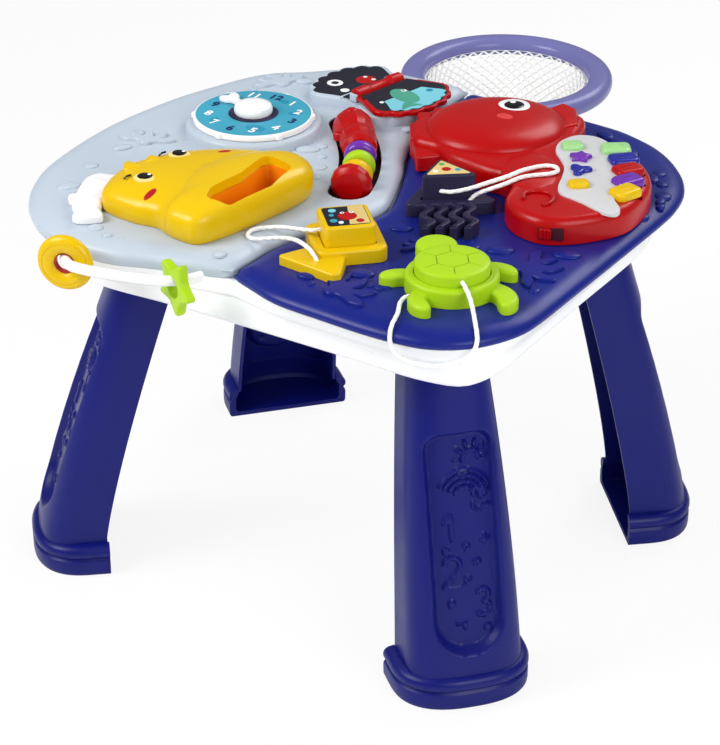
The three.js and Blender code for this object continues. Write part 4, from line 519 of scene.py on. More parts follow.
def plastic(name, colour, roughness=0.28, grain=900, relief=0.02, drift=0.05, coat=0.0):
    """Moulded plastic: a slight drift of tint, a fine moulded grain and an uneven gloss."""
    material = bpy.data.materials.new(name)
    material.use_nodes = True
    nodes, links = material.node_tree.nodes, material.node_tree.links
    shader = nodes["Principled BSDF"]
    shader.inputs["Coat Weight"].default_value = coat
    shader.inputs["Specular IOR Level"].default_value = specular_level
    shader.inputs["Coat Roughness"].default_value = coat_roughness
    places = nodes.new("ShaderNodeTexCoord")
    broad = nodes.new("ShaderNodeTexNoise")
    broad.inputs["Scale"].default_value = tint_scale
    broad.inputs["Detail"].default_value = 3
    tint = nodes.new("ShaderNodeValToRGB")
    plain = linear(colour)
    darker, lighter = tint.color_ramp.elements
    darker.position = 0.3
    darker.color = [c * (1 - drift) for c in plain[:3]] + [1]
    lighter.position = 0.7
    lighter.color = [min(1, c * (1 + drift)) for c in plain[:3]] + [1]
    fine = nodes.new("ShaderNodeTexNoise")
    fine.inputs["Scale"].default_value = grain
    fine.inputs["Detail"].default_value = 2
    bump = nodes.new("ShaderNodeBump")
    bump.inputs["Strength"].default_value = relief
    bump.inputs["Distance"].default_value = grain_height
    gloss = nodes.new("ShaderNodeMapRange")
    gloss.inputs["To Min"].default_value = roughness * 0.8
    gloss.inputs["To Max"].default_value = roughness * 1.25
    smear = nodes.new("ShaderNodeTexNoise")
    smear.inputs["Scale"].default_value = smear_scale
    for texture in (broad, fine, smear):
        links.new(places.outputs["Object"], texture.inputs["Vector"])
    links.new(broad.outputs["Fac"], tint.inputs["Fac"])
    links.new(tint.outputs["Color"], shader.inputs["Base Color"])
    links.new(fine.outputs["Fac"], bump.inputs["Height"])
    links.new(bump.outputs["Normal"], shader.inputs["Normal"])
    links.new(smear.outputs["Fac"], gloss.inputs["Value"])
    links.new(gloss.outputs["Result"], shader.inputs["Roughness"])
    return material


def braid_material(name, colour):
    """White braided thread: matte, with a soft sheen and a fine fibre."""
    material = plastic(name, colour, roughness=0.75, grain=2500, relief=0.35, drift=0.04)
    material.node_tree.nodes["Principled BSDF"].inputs["Sheen Weight"].default_value = 0.3
    return material


def metal(name, colour, roughness=0.35):
    """Plated metal with a faint brushed grain."""
    material = plastic(name, colour, roughness=roughness, grain=1500, relief=0.05, drift=0.08)
    material.node_tree.nodes["Principled BSDF"].inputs["Metallic"].default_value = 1
    return material


navy = plastic("navy_deck", (18, 32, 124), roughness=0.34, relief=0.05, drift=0.06)
leg_blue = plastic("leg_blue", (10, 18, 106), roughness=0.36, relief=0.08, grain=700, drift=0.05)
pale = plastic("lagoon_blue", (184, 196, 209), roughness=0.3, relief=0.02, drift=0.02)
white = plastic("tray_white", (246, 248, 250), roughness=0.3, drift=0.01)
gloss_white = plastic("gloss_white", (244, 244, 246), roughness=0.18, drift=0.01, coat=0.3)
red = plastic("toy_red", (178, 3, 6), roughness=0.32, drift=0.04, coat=0.06)
# Painted shade: a dark red-brown that stands for the shadow inside the shrimp's slot and the switch's slot.
slot_painted_shade = plastic("slot_shade", (70, 24, 34), roughness=0.4, drift=0.1)
dark_red = plastic("cheek_red", (176, 20, 30), roughness=0.4, drift=0.04)
cheek_pink = plastic("cheek_pink", (214, 62, 62), roughness=0.35, drift=0.04)
yellow = plastic("toy_yellow", (226, 186, 2), roughness=0.28, drift=0.03, coat=0.08)
green = plastic("toy_green", (168, 208, 26), roughness=0.38, drift=0.04)
mint = plastic("key_mint", (160, 214, 140), roughness=0.22, coat=0.3)
blue = plastic("key_blue", (34, 40, 150), roughness=0.22, coat=0.3)
purple = plastic("toy_purple", (110, 50, 170), roughness=0.22, coat=0.3)
indigo = plastic("toy_indigo", (40, 36, 66), roughness=0.4, drift=0.07)
lilac = plastic("hoop_lilac", (112, 112, 168), roughness=0.26, drift=0.04, coat=0.1)
orange = plastic("throat_orange", (228, 128, 4), roughness=0.35)
sea_green = plastic("print_sea_green", (74, 158, 134), roughness=0.45, drift=0.1)
deep_teal = plastic("print_deep_teal", (26, 136, 168), roughness=0.45, drift=0.1)
teal = plastic("print_teal", (58, 152, 178), roughness=0.45, drift=0.12)
sky = plastic("print_sky", (120, 198, 214), roughness=0.45, drift=0.08)
ink = plastic("print_navy", (24, 36, 92), roughness=0.45)
black = plastic("eye_black", (14, 12, 14), roughness=0.12, coat=0.5)
tan = plastic("print_tan", (214, 188, 120), roughness=0.5, drift=0.12)
leaf_print = plastic("print_green", (92, 160, 84), roughness=0.5, drift=0.12)
bezel_white = plastic("bezel_white", (204, 204, 206), roughness=0.3, drift=0.02)
thread = braid_material("cord_white", (246, 246, 244))
steel = metal("plated_steel", (190, 194, 200))
board_green = plastic("board_green", (44, 122, 68), roughness=0.45, drift=0.12)
speaker_black = plastic("speaker_black", (32, 32, 32), roughness=0.6)
midnight = plastic("print_midnight", (30, 32, 46), roughness=0.45, drift=0.1)
sclera = plastic("eye_sclera", (240, 214, 140), roughness=0.35)
cell_metal = metal("cell_can", (150, 154, 160), roughness=0.3)


# Small raised shapes that several toys share
dome_sunk = 1
digit_thickness = 0.25
digit_boldness = 0.0003


def bead_dome(name, x, y, z, radius, rise, sides=40, stretch=1, turn=0, power=2.4):
    """A low dome on a circle or an ellipse, its foot sunk a little into what carries it."""
    outline = turned(circle(radius, sides, stretch=stretch), turn, x, y)
    dome = dome_rings(outline, z, z + rise, x, y, steps=8, power=power, crown=0.1)
    return solid(name, [(outline, z - dome_sunk)] + dome)


def print_dots(name, dots, place, bottom, step, rise, sides, body, finish_slot):
    """Round marks on a print. Each has its level in the pile, so that marks overlap cleanly."""
    for k, (across, up, level, radius, material) in enumerate(dots):
        (x, y), = place([(across, up)])
        dot = bead_dome(f"{name}_{k}", x, y, bottom + level * step, radius, rise, sides)
        finish(dot, body, finish_slot, material)


def text_piece(name, words, x, y, z, size, turn):
    """Raised plain characters, their middle at a place."""
    clear()
    bpy.ops.object.text_add()
    piece = bpy.context.object
    piece.name = name
    piece.data.body = words
    piece.data.size = size * mm
    piece.data.extrude = digit_thickness * mm / 2
    piece.data.offset = digit_boldness
    piece.data.align_x = "CENTER"
    piece.data.align_y = "CENTER"
    piece.data.resolution_u = 4
    bpy.ops.object.convert(target="MESH")
    piece = bpy.context.object
    return move(piece, at(x, y, z), Matrix.Rotation(math.radians(turn), 4, "Z"))


# Covers
seam = smooth(seam_shares, 60, closed=False)
reef_edge = smooth(reef_edge_shares, 110, closed=False)
lagoon_edge = smooth(lagoon_edge_shares, 100, closed=False)
skirt_in = 3.4
skirt_edge = 0.8
shoulder_in = 0.6
shoulder_start = 2
pocket_half = 17.5
pocket_floor = 319.4


def cover_rings(outline, top):
    """Rings up a cover: a short skirt and then a round shoulder."""
    rings = [
        (shrunk(outline, skirt_in), cover_bottom),
        (shrunk(outline, skirt_in - skirt_edge), cover_bottom + skirt_edge),
        (shrunk(outline, shoulder_in), top - shoulder_height - shoulder_start),
    ]
    for k in range(9):
        angle = k / 8 * math.pi / 2
        side = shoulder_width * (1 - math.cos(angle))
        rings.append((shrunk(outline, side), top - shoulder_height * (1 - math.sin(angle))))
    return rings


def make_covers():
    """The two covers, which meet along the seam, and the shrimp's pocket."""
    gap_side = []
    points = scaled(seam, table_width, table_depth)
    for k, point in enumerate(points):
        along = points[min(k + 1, len(points) - 1)] - points[max(k - 1, 0)]
        along /= np.linalg.norm(along)
        gap_side.append(point + np.array([along[1], -along[0]]) * seam_gap)
    reef_sides = scaled(reef_edge, table_width, table_depth)[1:-1]
    lagoon_sides = scaled(lagoon_edge, table_width, table_depth)[:-1]
    reef_loop = np.concatenate([reef_sides, np.array(gap_side)[::-1]])
    lagoon_loop = np.concatenate([points[:-1], lagoon_sides])
    reef = solid("reef_moulding", cover_rings(reef_loop, deck_top))
    finish(reef, "root", "navy_plastic", navy, "reef_cover")
    lagoon = solid("lagoon_moulding", cover_rings(lagoon_loop, lagoon_top))
    pocket = plate("pocket", rail_loop(pocket_half), pocket_floor, lagoon_top + 9)
    finish(cut(lagoon, pocket), "root", "pale_plastic", pale, "lagoon_cover")


# Low relief on the covers, each shape as its place, its size and its turn
coral_shares = [
    (-0.14, -0.05), (-0.2, 0.16), (-0.44, 0.24), (-0.8, 0.2), (-1.1, 0.46), (-0.8, 0.52),
    (-0.54, 0.56), (-0.72, 0.98), (-0.42, 0.8), (-0.26, 0.6), (-0.2, 0.86), (-0.24, 1.22),
    (0.08, 0.96), (0.18, 0.62), (0.32, 0.8), (0.56, 1.12), (0.6, 0.7), (0.5, 0.5),
    (0.76, 0.58), (1.1, 0.5), (0.84, 0.26), (0.46, 0.2), (0.24, 0.1), (0.16, -0.05),
]
reef_corals = [(88, -186, 30, -34), (112, -84, 17, 60), (186, -74, 29, -70)]
reef_fish = [(118, -156, 7, 200)]
reef_stones = [
    (76, -62, 9, 30), (92, -146, 11, 20), (160, -54, 11, 30), (207, -34, 11, 20), (122, 186, 10, -30),
    (138, 178, 9, -30), (158, 164, 9, -40), (196, 128, 9, -50), (222, 92, 7, -70), (60, -172, 7, 10),
]
reef_bubbles = [
    (222, 60, 6), (226, 84, 4), (218, 104, 7), (208, 122, 5), (196, 140, 6), (140, -60, 5),
    (152, -70, 3.6), (222, 36, 4), (60, -172, 4), (70, -180, 3), (216, -100, 4.5), (40, -60, 4),
    (34, -46, 3),
]
lagoon_corals = [(-186, -46, 22, 20), (-160, 122, 22, 60)]
lagoon_fish = [(-186, -146, 10, 60), (-172, 90, 9, 120)]
lagoon_stones = [(-66, 18, 10, 30), (-196, -62, 8, 60), (-150, 140, 9, 20)]
lagoon_bubbles = [
    (-205, -30, 6), (-192, -42, 4), (-60, 30, 5), (-48, 12, 4), (-38, -6, 6), (-30, -24, 4),
    (-120, 150, 7), (-140, 160, 4), (-20, 100, 5), (-12, 118, 3.4), (-196, -104, 6),
    (-120, -196, 6), (-104, -202, 4), (-12, -182, 5), (-176, -150, 4),
]
bubble_rise = 1.8


def coral(x, y, top, size, turn):
    """A fan of pointed coral fingers."""
    fan = turned(smooth(coral_shares, 150) * size, turn, x, y)
    levels = ((0, -1), (0, 1.6), (0.4, 2.4), (0.9, 2.8))
    return solid("coral", [(shrunk(fan, side), top + rise) for side, rise in levels])


def stone(x, y, top, size, turn):
    """A long low stone."""
    return bead_dome("stone", x, y, top, size, 2.6, stretch=0.6, turn=turn, power=3)


def relief_fish(x, y, top, size, turn):
    """A small fish: an oval, a tail and a fin."""
    body = bead_dome("fish_body", x, y, top, size, 1.7, stretch=0.62, turn=turn)
    tail = np.array([(0.8, 0), (1.6, 0.5), (1.6, -0.5)]) * size
    fin = np.array([(-0.3, 0.5), (0.35, 0.95), (0.4, 0.4)]) * size
    parts = []
    for corners, radius in ((tail, size * 0.12), (fin, size * 0.1)):
        outline = turned(rounded_corners(corners, radius), turn, x, y)
        parts.append(plate("fish_part", outline, top - 1, top + 1.4, 0.6, steps=3))
    return joined("small_fish", body, *parts)


def low_relief(name, top, corals, fishes, stones, bubbles, finish_slot, material):
    """All the relief of one cover, as one piece."""
    pieces = [coral(x, y, top, size, turn) for x, y, size, turn in corals]
    pieces += [relief_fish(x, y, top, size, turn) for x, y, size, turn in fishes]
    pieces += [stone(x, y, top, size, turn) for x, y, size, turn in stones]
    pieces += [bead_dome("bubble", x, y, top, radius, bubble_rise, 32) for x, y, radius in bubbles]
    finish(joined(name, *pieces), "root", finish_slot, material)


def make_reliefs():
    """The relief of both covers."""
    low_relief(
        "reef_relief", deck_top, reef_corals, reef_fish, reef_stones, reef_bubbles,
        "navy_plastic", navy,
    )
    low_relief(
        "lagoon_relief", lagoon_top, lagoon_corals, lagoon_fish, lagoon_stones, lagoon_bubbles,
        "pale_plastic", pale,
    )


# Tray
tray_wall_in = 3.5
tray_foot_out = 4
tray_foot_round = 5
tray_levels = [
    (0.17, 2), (0.34, 2), (0.5, 2), (0.58, 2), (0.6, 0.4), (0.64, 0), (0.8, 0), (1, 0),
]


def in_direction(outline, point):
    """Where the outline lies in the same direction from the middle as the point."""
    for start, end in zip(outline, np.roll(outline, -1, axis=0)):
        along = end - start
        facing = point[0] * along[1] - point[1] * along[0]
        if abs(facing) < 1e-9:
            continue
        share = (start[0] * point[1] - start[1] * point[0]) / facing
        place = start + along * share
        if 0 <= share <= 1 and place.dot(point) > 0:
            return place
    return point


def make_tray():
    """The tray: a round foot, a sloping wall and a step to a wider rim."""
    top_loop = np.concatenate([
        scaled(reef_edge, table_width, table_depth)[:-1],
        scaled(lagoon_edge, table_width, table_depth)[:-1],
    ])
    wall = shrunk(top_loop, tray_wall_in)
    foot_edge = smooth(scaled(tray_foot_shares, table_width, table_depth), 200)
    foot = shrunk(np.array([in_direction(foot_edge, p) for p in wall]), -tray_foot_out)
    rings = []
    for k in range(6):
        angle = k / 5 * math.pi / 2
        side = tray_foot_round * (1 - math.sin(angle))
        rings.append((shrunk(foot, side), tray_bottom + tray_foot_round * (1 - math.cos(angle))))
    wall_bottom = tray_bottom + tray_foot_round
    for share, side in tray_levels:
        level = foot + (wall - foot) * share ** 1.2
        rings.append((shrunk(level, side), wall_bottom + (tray_top - wall_bottom) * share))
    finish(solid("tray_moulding", rings), "root", "white_plastic", white, "base_tray")


# Legs
leg_reach_x = 172.08
leg_reach_y = 138.03
leg_turn = 41.2
leg_leans = {1: 58, -1: 74}
lean_power = 1.22
leg_top = 281.4
leg_foot_span = 94
leg_top_span = 60
leg_belly = 20
leg_foot_depth = 55
leg_top_depth = 47
leg_back = 2
leg_flat_share = 0.42
leg_round_power = 0.72
leg_wall = 3.2
wall_columns = 3
bend_columns = 12
bend_turn = 42.8
face_columns = 70
face_share = 0.8
leg_rows = 190
panel_middle = 130
panel_half_width = 30
panel_half_height = 88
panel_depth = 9
panel_slope = 7
panel_top_corner = 17
panel_foot_corner = 29
stroke_height = 2.2
stroke_outer = 0.7
stroke_edge = 1.2
foot_width = 112
foot_depth = 63
foot_height = 27
foot_profile = [
    (2.8, 0), (1.5, 0.5), (0.7, 1.8), (0.4, 4), (0.3, 11.4), (0.7, 13.4), (2, 14.8), (2.5, 15.6),
    (2, 16.4), (0.7, 17.6), (0.1, 19.4), (0.1, 21.4), (0.9, 23.6), (2.4, 25.4), (4.8, 26.6), (8.4, 27.2),
]
foot_hollow = [(9, 4), (6.4, 7), (6.4, 18), (9.2, 24), (9.2, 30)]
foot_hollow_back = 4


def eased(share):
    """A share of 0 to 1 that starts and ends gently."""
    return share * share * (3 - 2 * share)


def stroke_gap(across, height, line):
    """How far each point of a surface lies from a drawn line."""
    best = np.full(across.shape, 1e9)
    for (x0, z0), (x1, z1) in zip(line, line[1:]):
        dx, dz = x1 - x0, z1 - z0
        share = np.clip(((across - x0) * dx + (height - z0) * dz) / (dx * dx + dz * dz + 1e-9), 0, 1)
        best = np.minimum(best, np.hypot(across - x0 - share * dx, height - z0 - share * dz))
    return best


def arc(x, z, radius, start, end, steps=14):
    """Points along part of a circle, from one bearing to another."""
    return [polar(radius, start + (end - start) * k / steps, x, z) for k in range(steps + 1)]


def panel_strokes():
    """The panel's raised drawing: a sun, a rainbow on a cloud, three figures and small marks.

    Each stroke is a line of places across and up the panel, with half its width.
    """
    sun_x, sun_z = 10, 193
    rays = [[polar(reach, k * 36, sun_x, sun_z) for reach in (10, 13.5)] for k in range(6)]
    rainbow = [arc(3, 164, radius, 0, 152) for radius in (8, 12.4, 16.8, 21.2)]
    cloud = arc(14, 158, 5, 120, 330) + arc(21, 160, 5.5, -60, 150) + arc(14, 166, 4, 40, 180)
    one = [(-14, 146), (-9, 151), (-9, 133)]
    two = arc(-10, 112, 6.5, 160, -50) + [(-17, 96), (-4, 96)]
    three = arc(13, 86, 5, 140, -80) + arc(13, 76, 5.6, 80, -140)
    marks = [[(14, 130), (20, 130)], [(17, 133), (17, 127)], [(-8, 66), (-2, 66), (-2, 62)]]
    specks = ((2, 126), (-14, 124), (10, 113), (2, 100), (-12, 82), (16, 60))
    marks += [arc(x, z, 1.8, 0, 360) for x, z in specks]
    strokes = [(arc(sun_x, sun_z, 6.5, -10, 190), 1.3)]
    strokes += [(line, 1.2) for line in (*rays, cloud, *marks)]
    strokes += [(line, 1.15) for line in rainbow]
    strokes += [(line, 1.5) for line in (one, two, three)]
    return strokes


def leg_spot(share_across, wall_share, height, lean):
    """A point of the leg's outer face in its own frame: across, and outwards."""
    share = (height - foot_height) / (leg_top - foot_height)
    span = leg_foot_span + (leg_top_span - leg_foot_span) * share + leg_belly * share * (1 - share)
    half = span / 2
    depth = leg_foot_depth + (leg_top_depth - leg_foot_depth) * share
    back = leg_back - lean * max(0, share) ** lean_power
    flat = depth * leg_flat_share
    if wall_share < 1:
        return half * np.sign(share_across), back + flat * wall_share
    cosine = abs(share_across) ** (1 / leg_round_power)
    sine = math.sqrt(max(0, 1 - cosine * cosine))
    return half * share_across, back + flat + (depth - flat) * sine ** leg_round_power


def leg_columns():
    """Across shares of the sheet's columns: up one wall, over the face, down the other wall."""
    walls = [(1, k / wall_columns) for k in range(wall_columns)]
    turns = [math.radians(bend_turn * k / bend_columns) for k in range(bend_columns)]
    bend = [(math.cos(turn) ** leg_round_power, 1) for turn in turns]
    face = [(face_share - 2 * face_share * k / face_columns, 1) for k in range(face_columns + 1)]
    right = walls + bend
    return right + face + [(-across, wall_share) for across, wall_share in reversed(right)]


def panel_depths(across, height):
    """How far the panel and its drawing push each point of the face in."""
    corner = np.where(height > panel_middle, panel_top_corner, panel_foot_corner)
    side_gap = panel_half_width - np.abs(across)
    end_gap = panel_half_height - np.abs(height - panel_middle)
    beyond_x = np.maximum(corner - side_gap, 0)
    beyond_z = np.maximum(corner - end_gap, 0)
    in_corner = (beyond_x > 0) & (beyond_z > 0)
    inside = np.where(in_corner, corner - np.hypot(beyond_x, beyond_z), np.minimum(side_gap, end_gap))
    sunk = panel_depth * eased(np.clip(inside / panel_slope, 0, 1))
    raised = np.zeros(across.shape)
    for line, half in panel_strokes():
        gap = stroke_gap(across, height, line)
        edge = np.clip((half + stroke_outer - gap) / stroke_edge, 0, 1)
        raised = np.maximum(raised, stroke_height * eased(edge))
    return sunk - raised * (inside > panel_slope)


def make_leg_mesh(name, lean):
    """One leg without its foot: a sheet bent round the leg, sunk at the panel and then thickened."""
    columns = leg_columns()
    bottom = foot_height - 3
    places = np.zeros((leg_rows, len(columns), 3))
    for row in range(leg_rows):
        height = bottom + (leg_top - bottom) * row / (leg_rows - 1)
        for column, (across, wall_share) in enumerate(columns):
            places[row, column] = (*leg_spot(across, wall_share, height, lean), height)
    on_face = np.array([wall_share >= 1 for _, wall_share in columns])[None, :]
    depths = panel_depths(-places[..., 0], places[..., 2])
    places[..., 1] -= np.where(on_face, depths, 0)
    piece = wrapped_grid(name, len(columns), leg_rows, places * mm)
    pick(piece)
    wall = piece.modifiers.new("wall", "SOLIDIFY")
    wall.thickness = leg_wall * mm
    wall.offset = -1
    bpy.ops.object.modifier_apply(modifier=wall.name)
    return piece


def foot_outline(inset, reach_back=0, steps=56):
    """The foot's outline: a round outer side and a straight open side towards the table."""
    half = foot_width / 2 - inset
    depth = foot_depth - inset
    flat = foot_depth * 0.25
    points = [(half, -reach_back), (half, flat / 2)]
    for k in range(steps + 1):
        angle = math.pi * k / steps
        across = half * squarer(math.cos(angle), 0.8)
        points.append((across, flat + (depth - flat) * math.sin(angle) ** 0.8))
    points += [(-half, flat / 2), (-half, -reach_back)]
    return np.array(points)


def make_foot(name):
    """A foot, open at the back: a floor, a round lower lip, a groove and a round upper lip."""
    foot = solid(name, [(foot_outline(side), height) for side, height in foot_profile], from_middle)
    hollow = [(foot_outline(side, foot_hollow_back), height) for side, height in foot_hollow]
    return cut(foot, solid("hollow", hollow, from_middle))


def make_legs():
    """The four legs, each turned outwards over its corner."""
    corners = (("front_right", 1, -1), ("back_right", 1, 1), ("back_left", -1, 1), ("front_left", -1, -1))
    models = {side: make_leg_mesh("leg", lean) for side, lean in leg_leans.items()}
    foot = make_foot("foot")
    turn = math.radians(leg_turn)
    for name, side_x, side_y in corners:
        facing = math.atan2(side_y * math.sin(turn), side_x * math.cos(turn)) - math.pi / 2
        leg = joined(f"leg_{name}_moulding", copied(models[side_x], "leg"), copied(foot, "foot_copy"))
        place = at(side_x * leg_reach_x, side_y * leg_reach_y, 0)
        move(leg, place, Matrix.Rotation(facing, 4, "Z"))
        finish(leg, "root", "leg_plastic", leg_blue, f"leg_{name}", angle=30)
    for model in (*models.values(), foot):
        bpy.data.objects.remove(model)


# Clock
clock_x = -129
clock_y = 31
clock_boss_radius = 57
clock_boss_top = 341
dial_bottom = 341.3
dial_turn = 94
dial_nubs = 6
nub_reach = 48.3
nub_radius = 3.9
nub_bottom = 341.5
nub_top = 346.1
face_bottom = 343.9
face_top = 346.3
number_reach = 37.5
number_size = 12.5
washer_bottom = 345.5
hand_bottom = 346.9
hand_top = 350.6
hand_length = 40
hand_half_width = 17
hand_turn = 160
rim_profile = [
    (46, 1.5), (46, 3.4), (46.8, 4.6), (48.2, 5), (49.6, 4.6), (50.5, 3.2), (50.5, 0.6), (49.9, 0),
    (10, 0), (10, 1.5),
]
face_profile = [(10, 0), (48.4, 0), (48.4, 2.4), (10, 2.4)]
washer_profile = [(10, 0), (21, 0), (21, 1), (20.4, 1.3), (10, 1.3)]
hand_knob_profile = [(15.4, 0), (16.2, 1.4), (16.2, 4.4), (15.2, 6.6), (13, 7.8), (9, 8.4), (3, 8.6)]
dial_patches = [(20, -26, 9), (30, 18, 6), (-30, 14, 7), (-18, -30, 6), (8, 34, 5)]
hand_shares = [
    (0.1, -0.2), (0.5, -0.2), (0.66, -0.24), (0.74, -0.4), (0.88, -0.52), (1, -0.4), (0.95, -0.08),
    (0.9, 0), (0.95, 0.08), (1, 0.4), (0.88, 0.52), (0.74, 0.4), (0.66, 0.24), (0.5, 0.2), (0.1, 0.2),
]


def make_clock():
    """The boss, the dial with its face and numbers, the washer and the hand."""
    boss = circle(clock_boss_radius, 96, clock_x, clock_y)
    finish(plate("clock_boss", boss, lagoon_top - 1, clock_boss_top, 4), "root", "pale_plastic", pale)
    rim = move(spun("dial_rim", rim_profile, 96), at(clock_x, clock_y, dial_bottom))
    nubs = []
    for k in range(dial_nubs):
        x, y = polar(nub_reach, (k + 0.5) * 360 / dial_nubs, clock_x, clock_y)
        nubs.append(plate("nub", circle(nub_radius, 28, x, y), nub_bottom, nub_top, 1.6))
    finish(joined("dial_body", rim, *nubs), "dial", "white_plastic", gloss_white, "clock_dial")
    face = move(spun("dial_face", face_profile, 96), at(clock_x, clock_y, face_bottom))
    finish(face, "dial", "teal_print", teal, "dial_label")
    for k, (x, y, radius) in enumerate(dial_patches):
        patch = bead_dome(
            f"dial_patch_{k}", clock_x + x, clock_y + y, face_top, radius, 0.12, 36,
            stretch=0.7, turn=k * 40,
        )
        finish(patch, "dial", "teal_print", deep_teal)
    for hour in range(1, 13):
        x, y = polar(number_reach, dial_turn - hour * 30, clock_x, clock_y)
        name = f"dial_number_{hour}"
        digits = text_piece(name, str(hour), x, y, face_top + 0.2, number_size, dial_turn - 90)
        finish(digits, "dial", "teal_print", ink if hour % 3 == 0 else gloss_white)
    washer = move(spun("washer", washer_profile, 72), at(clock_x, clock_y, washer_bottom))
    finish(washer, "dial", "indigo_plastic", indigo, "clock_washer")
    fluke = smooth([(a * hand_length, b * hand_half_width) for a, b in hand_shares], 72)
    fluke = turned(fluke, hand_turn, clock_x, clock_y)
    arm = plate("hand_arm", fluke, hand_bottom, hand_top, 1.4, 0.5, steps=4)
    rings = [(circle(r, 64, clock_x, clock_y), hand_bottom + z) for r, z in hand_knob_profile]
    hand = joined("hand_moulding", arm, solid("hand_knob", rings))
    finish(hand, "hand", "white_plastic", gloss_white, "clock_hand")


# Flip page
page_x = -75
page_y = 140
page_turn = -11.8
hinge_z = 343.9
stage_top = 341
leaf_bottom = 341.7
leaf_top = 346.2
ear_reach = 29.2
ear_bottom = 340
ear_top = 346.4
left_label_bottom = 340.4
left_label_top = 341.15
shell_dot_bottom = 341.14
page_print_bottom = 345.4
page_print_top = 346.3
sea_bottom = 346
sea_top = 346.36
whale_bottom = 346.2
whale_top = 346.42
whale_turn = -24
loop_spine_share = 0.34
loop_start_share = 0.18
loop_opening = math.pi * 0.42
barrel_profile = [
    (-27, 5.6), (-26.4, 6.2), (-15, 6.4), (-13, 6), (-11, 5), (11, 5), (13, 6), (15, 6.4),
    (26.4, 6.2), (27, 5.6),
]
whale_tail = [(-6, 0), (2, 8), (6, 10), (4, 0), (6, -10), (2, -8)]
page_dots = [
    (25, 6, 0, 2.6, gloss_white), (24.4, 6, 1, 1.3, midnight), (30, -26, 0, 2, gloss_white),
    (40, 22, 1, 3, deep_teal),
]
shell_dots = [
    (-24, 10, 0, 9, red), (-29, 14, 1, 2, gloss_white), (-20, 15, 2, 2, gloss_white),
    (-38, -14, 3, 7, gloss_white), (-38, -14, 4, 4, midnight), (-20, -20, 5, 4, gloss_white),
    (-14, 26, 6, 3, teal),
]


def on_book(outline):
    """An outline of the book's own frame, put on the table."""
    return turned(outline, page_turn, page_x, page_y)


def book_loop(width, depth, side, lobe_depth, lobes=7, steps=12):
    """One half of the book: a straight spine and a scalloped outer edge."""
    half = depth * loop_spine_share
    inner = width * loop_start_share
    outer = width - inner
    loop = [(0, -side * half), (side * inner, -side * half * 1.12)]
    for k in range(lobes * steps):
        share = (k + 0.5) / (lobes * steps)
        angle = (2 * share - 1) * loop_opening
        swell = 1 - 2 * lobe_depth / width * (1 - abs(math.sin(share * lobes * math.pi)))
        loop.append((
            side * (inner + outer * math.cos(angle) ** 0.7 * swell),
            side * depth / 2 * math.sin(angle) / math.sin(loop_opening) * swell,
        ))
    loop += [(side * inner, side * half * 1.12), (0, side * half)]
    return np.array(loop)


def book_plate(name, loop, shift, bottom, top, *rounds):
    """A plate on a loop of the book, moved away from the spine."""
    return plate(name, on_book(loop + (shift, 0)), bottom, top, *rounds)


def make_page():
    """The two stages, the leaf on its barrel, and their prints."""
    for side, name in ((-1, "stage_left"), (1, "stage_right")):
        stage = plate(name, on_book(book_loop(61, 92, side, 1.3)), lagoon_top - 1, stage_top, 2)
        finish(stage, "root", "pale_plastic", pale)
    loop = book_loop(52, 84, -1, 2)
    label = book_plate("left_page_label", loop, -6, left_label_bottom, left_label_top, 0.2)
    finish(label, "root", "indigo_plastic", midnight, "shell_label")
    leaf = book_plate("page_leaf", book_loop(62, 90, 1, 1.6), 4.5, leaf_bottom, leaf_top, 1.6, 1)
    barrel = solid("page_barrel", [(circle(r, 40), along) for along, r in barrel_profile], from_middle)
    tilt = Matrix.Rotation(math.radians(page_turn), 4, "Z") @ Matrix.Rotation(-math.pi / 2, 4, "X")
    move(barrel, at(page_x, page_y, hinge_z), tilt)
    finish(joined("page_moulding", leaf, barrel), "page", "red_plastic", red, "flip_page")
    loop = book_loop(56, 82, 1, 1.5)
    ground = book_plate("page_print", loop, 8, page_print_bottom, page_print_top, 0.05)
    finish(ground, "page", "teal_print", midnight, "page_label")
    loop = book_loop(32, 80, 1, 1.2) * (1, 0.84)
    sea = book_plate("page_sea", loop, 30, sea_bottom, sea_top, 0.03)
    finish(sea, "page", "teal_print", sky)
    (x, y), = on_book([(34, -2)])
    body = turned(circle(17, 60, stretch=0.6), whale_turn, x, y)
    (x, y), = on_book([(50, -14)])
    tail = turned(smooth(whale_tail, 40), whale_turn, x, y)
    whale = [plate("whale_part", outline, whale_bottom, whale_top, 0.03) for outline in (body, tail)]
    finish(joined("page_whale", *whale), "page", "teal_print", sea_green)
    print_dots("page_dot", page_dots, on_book, whale_top, 0.04, 0.04, 36, "page", "teal_print")
    print_dots("shell_dot", shell_dots, on_book, shell_dot_bottom, 0.015, 0.05, 36, "root", "teal_print")
    for end in (-1, 1):
        (x, y), = on_book([(0, end * ear_reach)])
        outline = turned(rounded_box(8, 3, 1), page_turn, x, y)
        ear = plate(f"hinge_ear_{end + 2}", outline, ear_bottom, ear_top, 1.2)
        finish(ear, "root", "pale_plastic", pale)


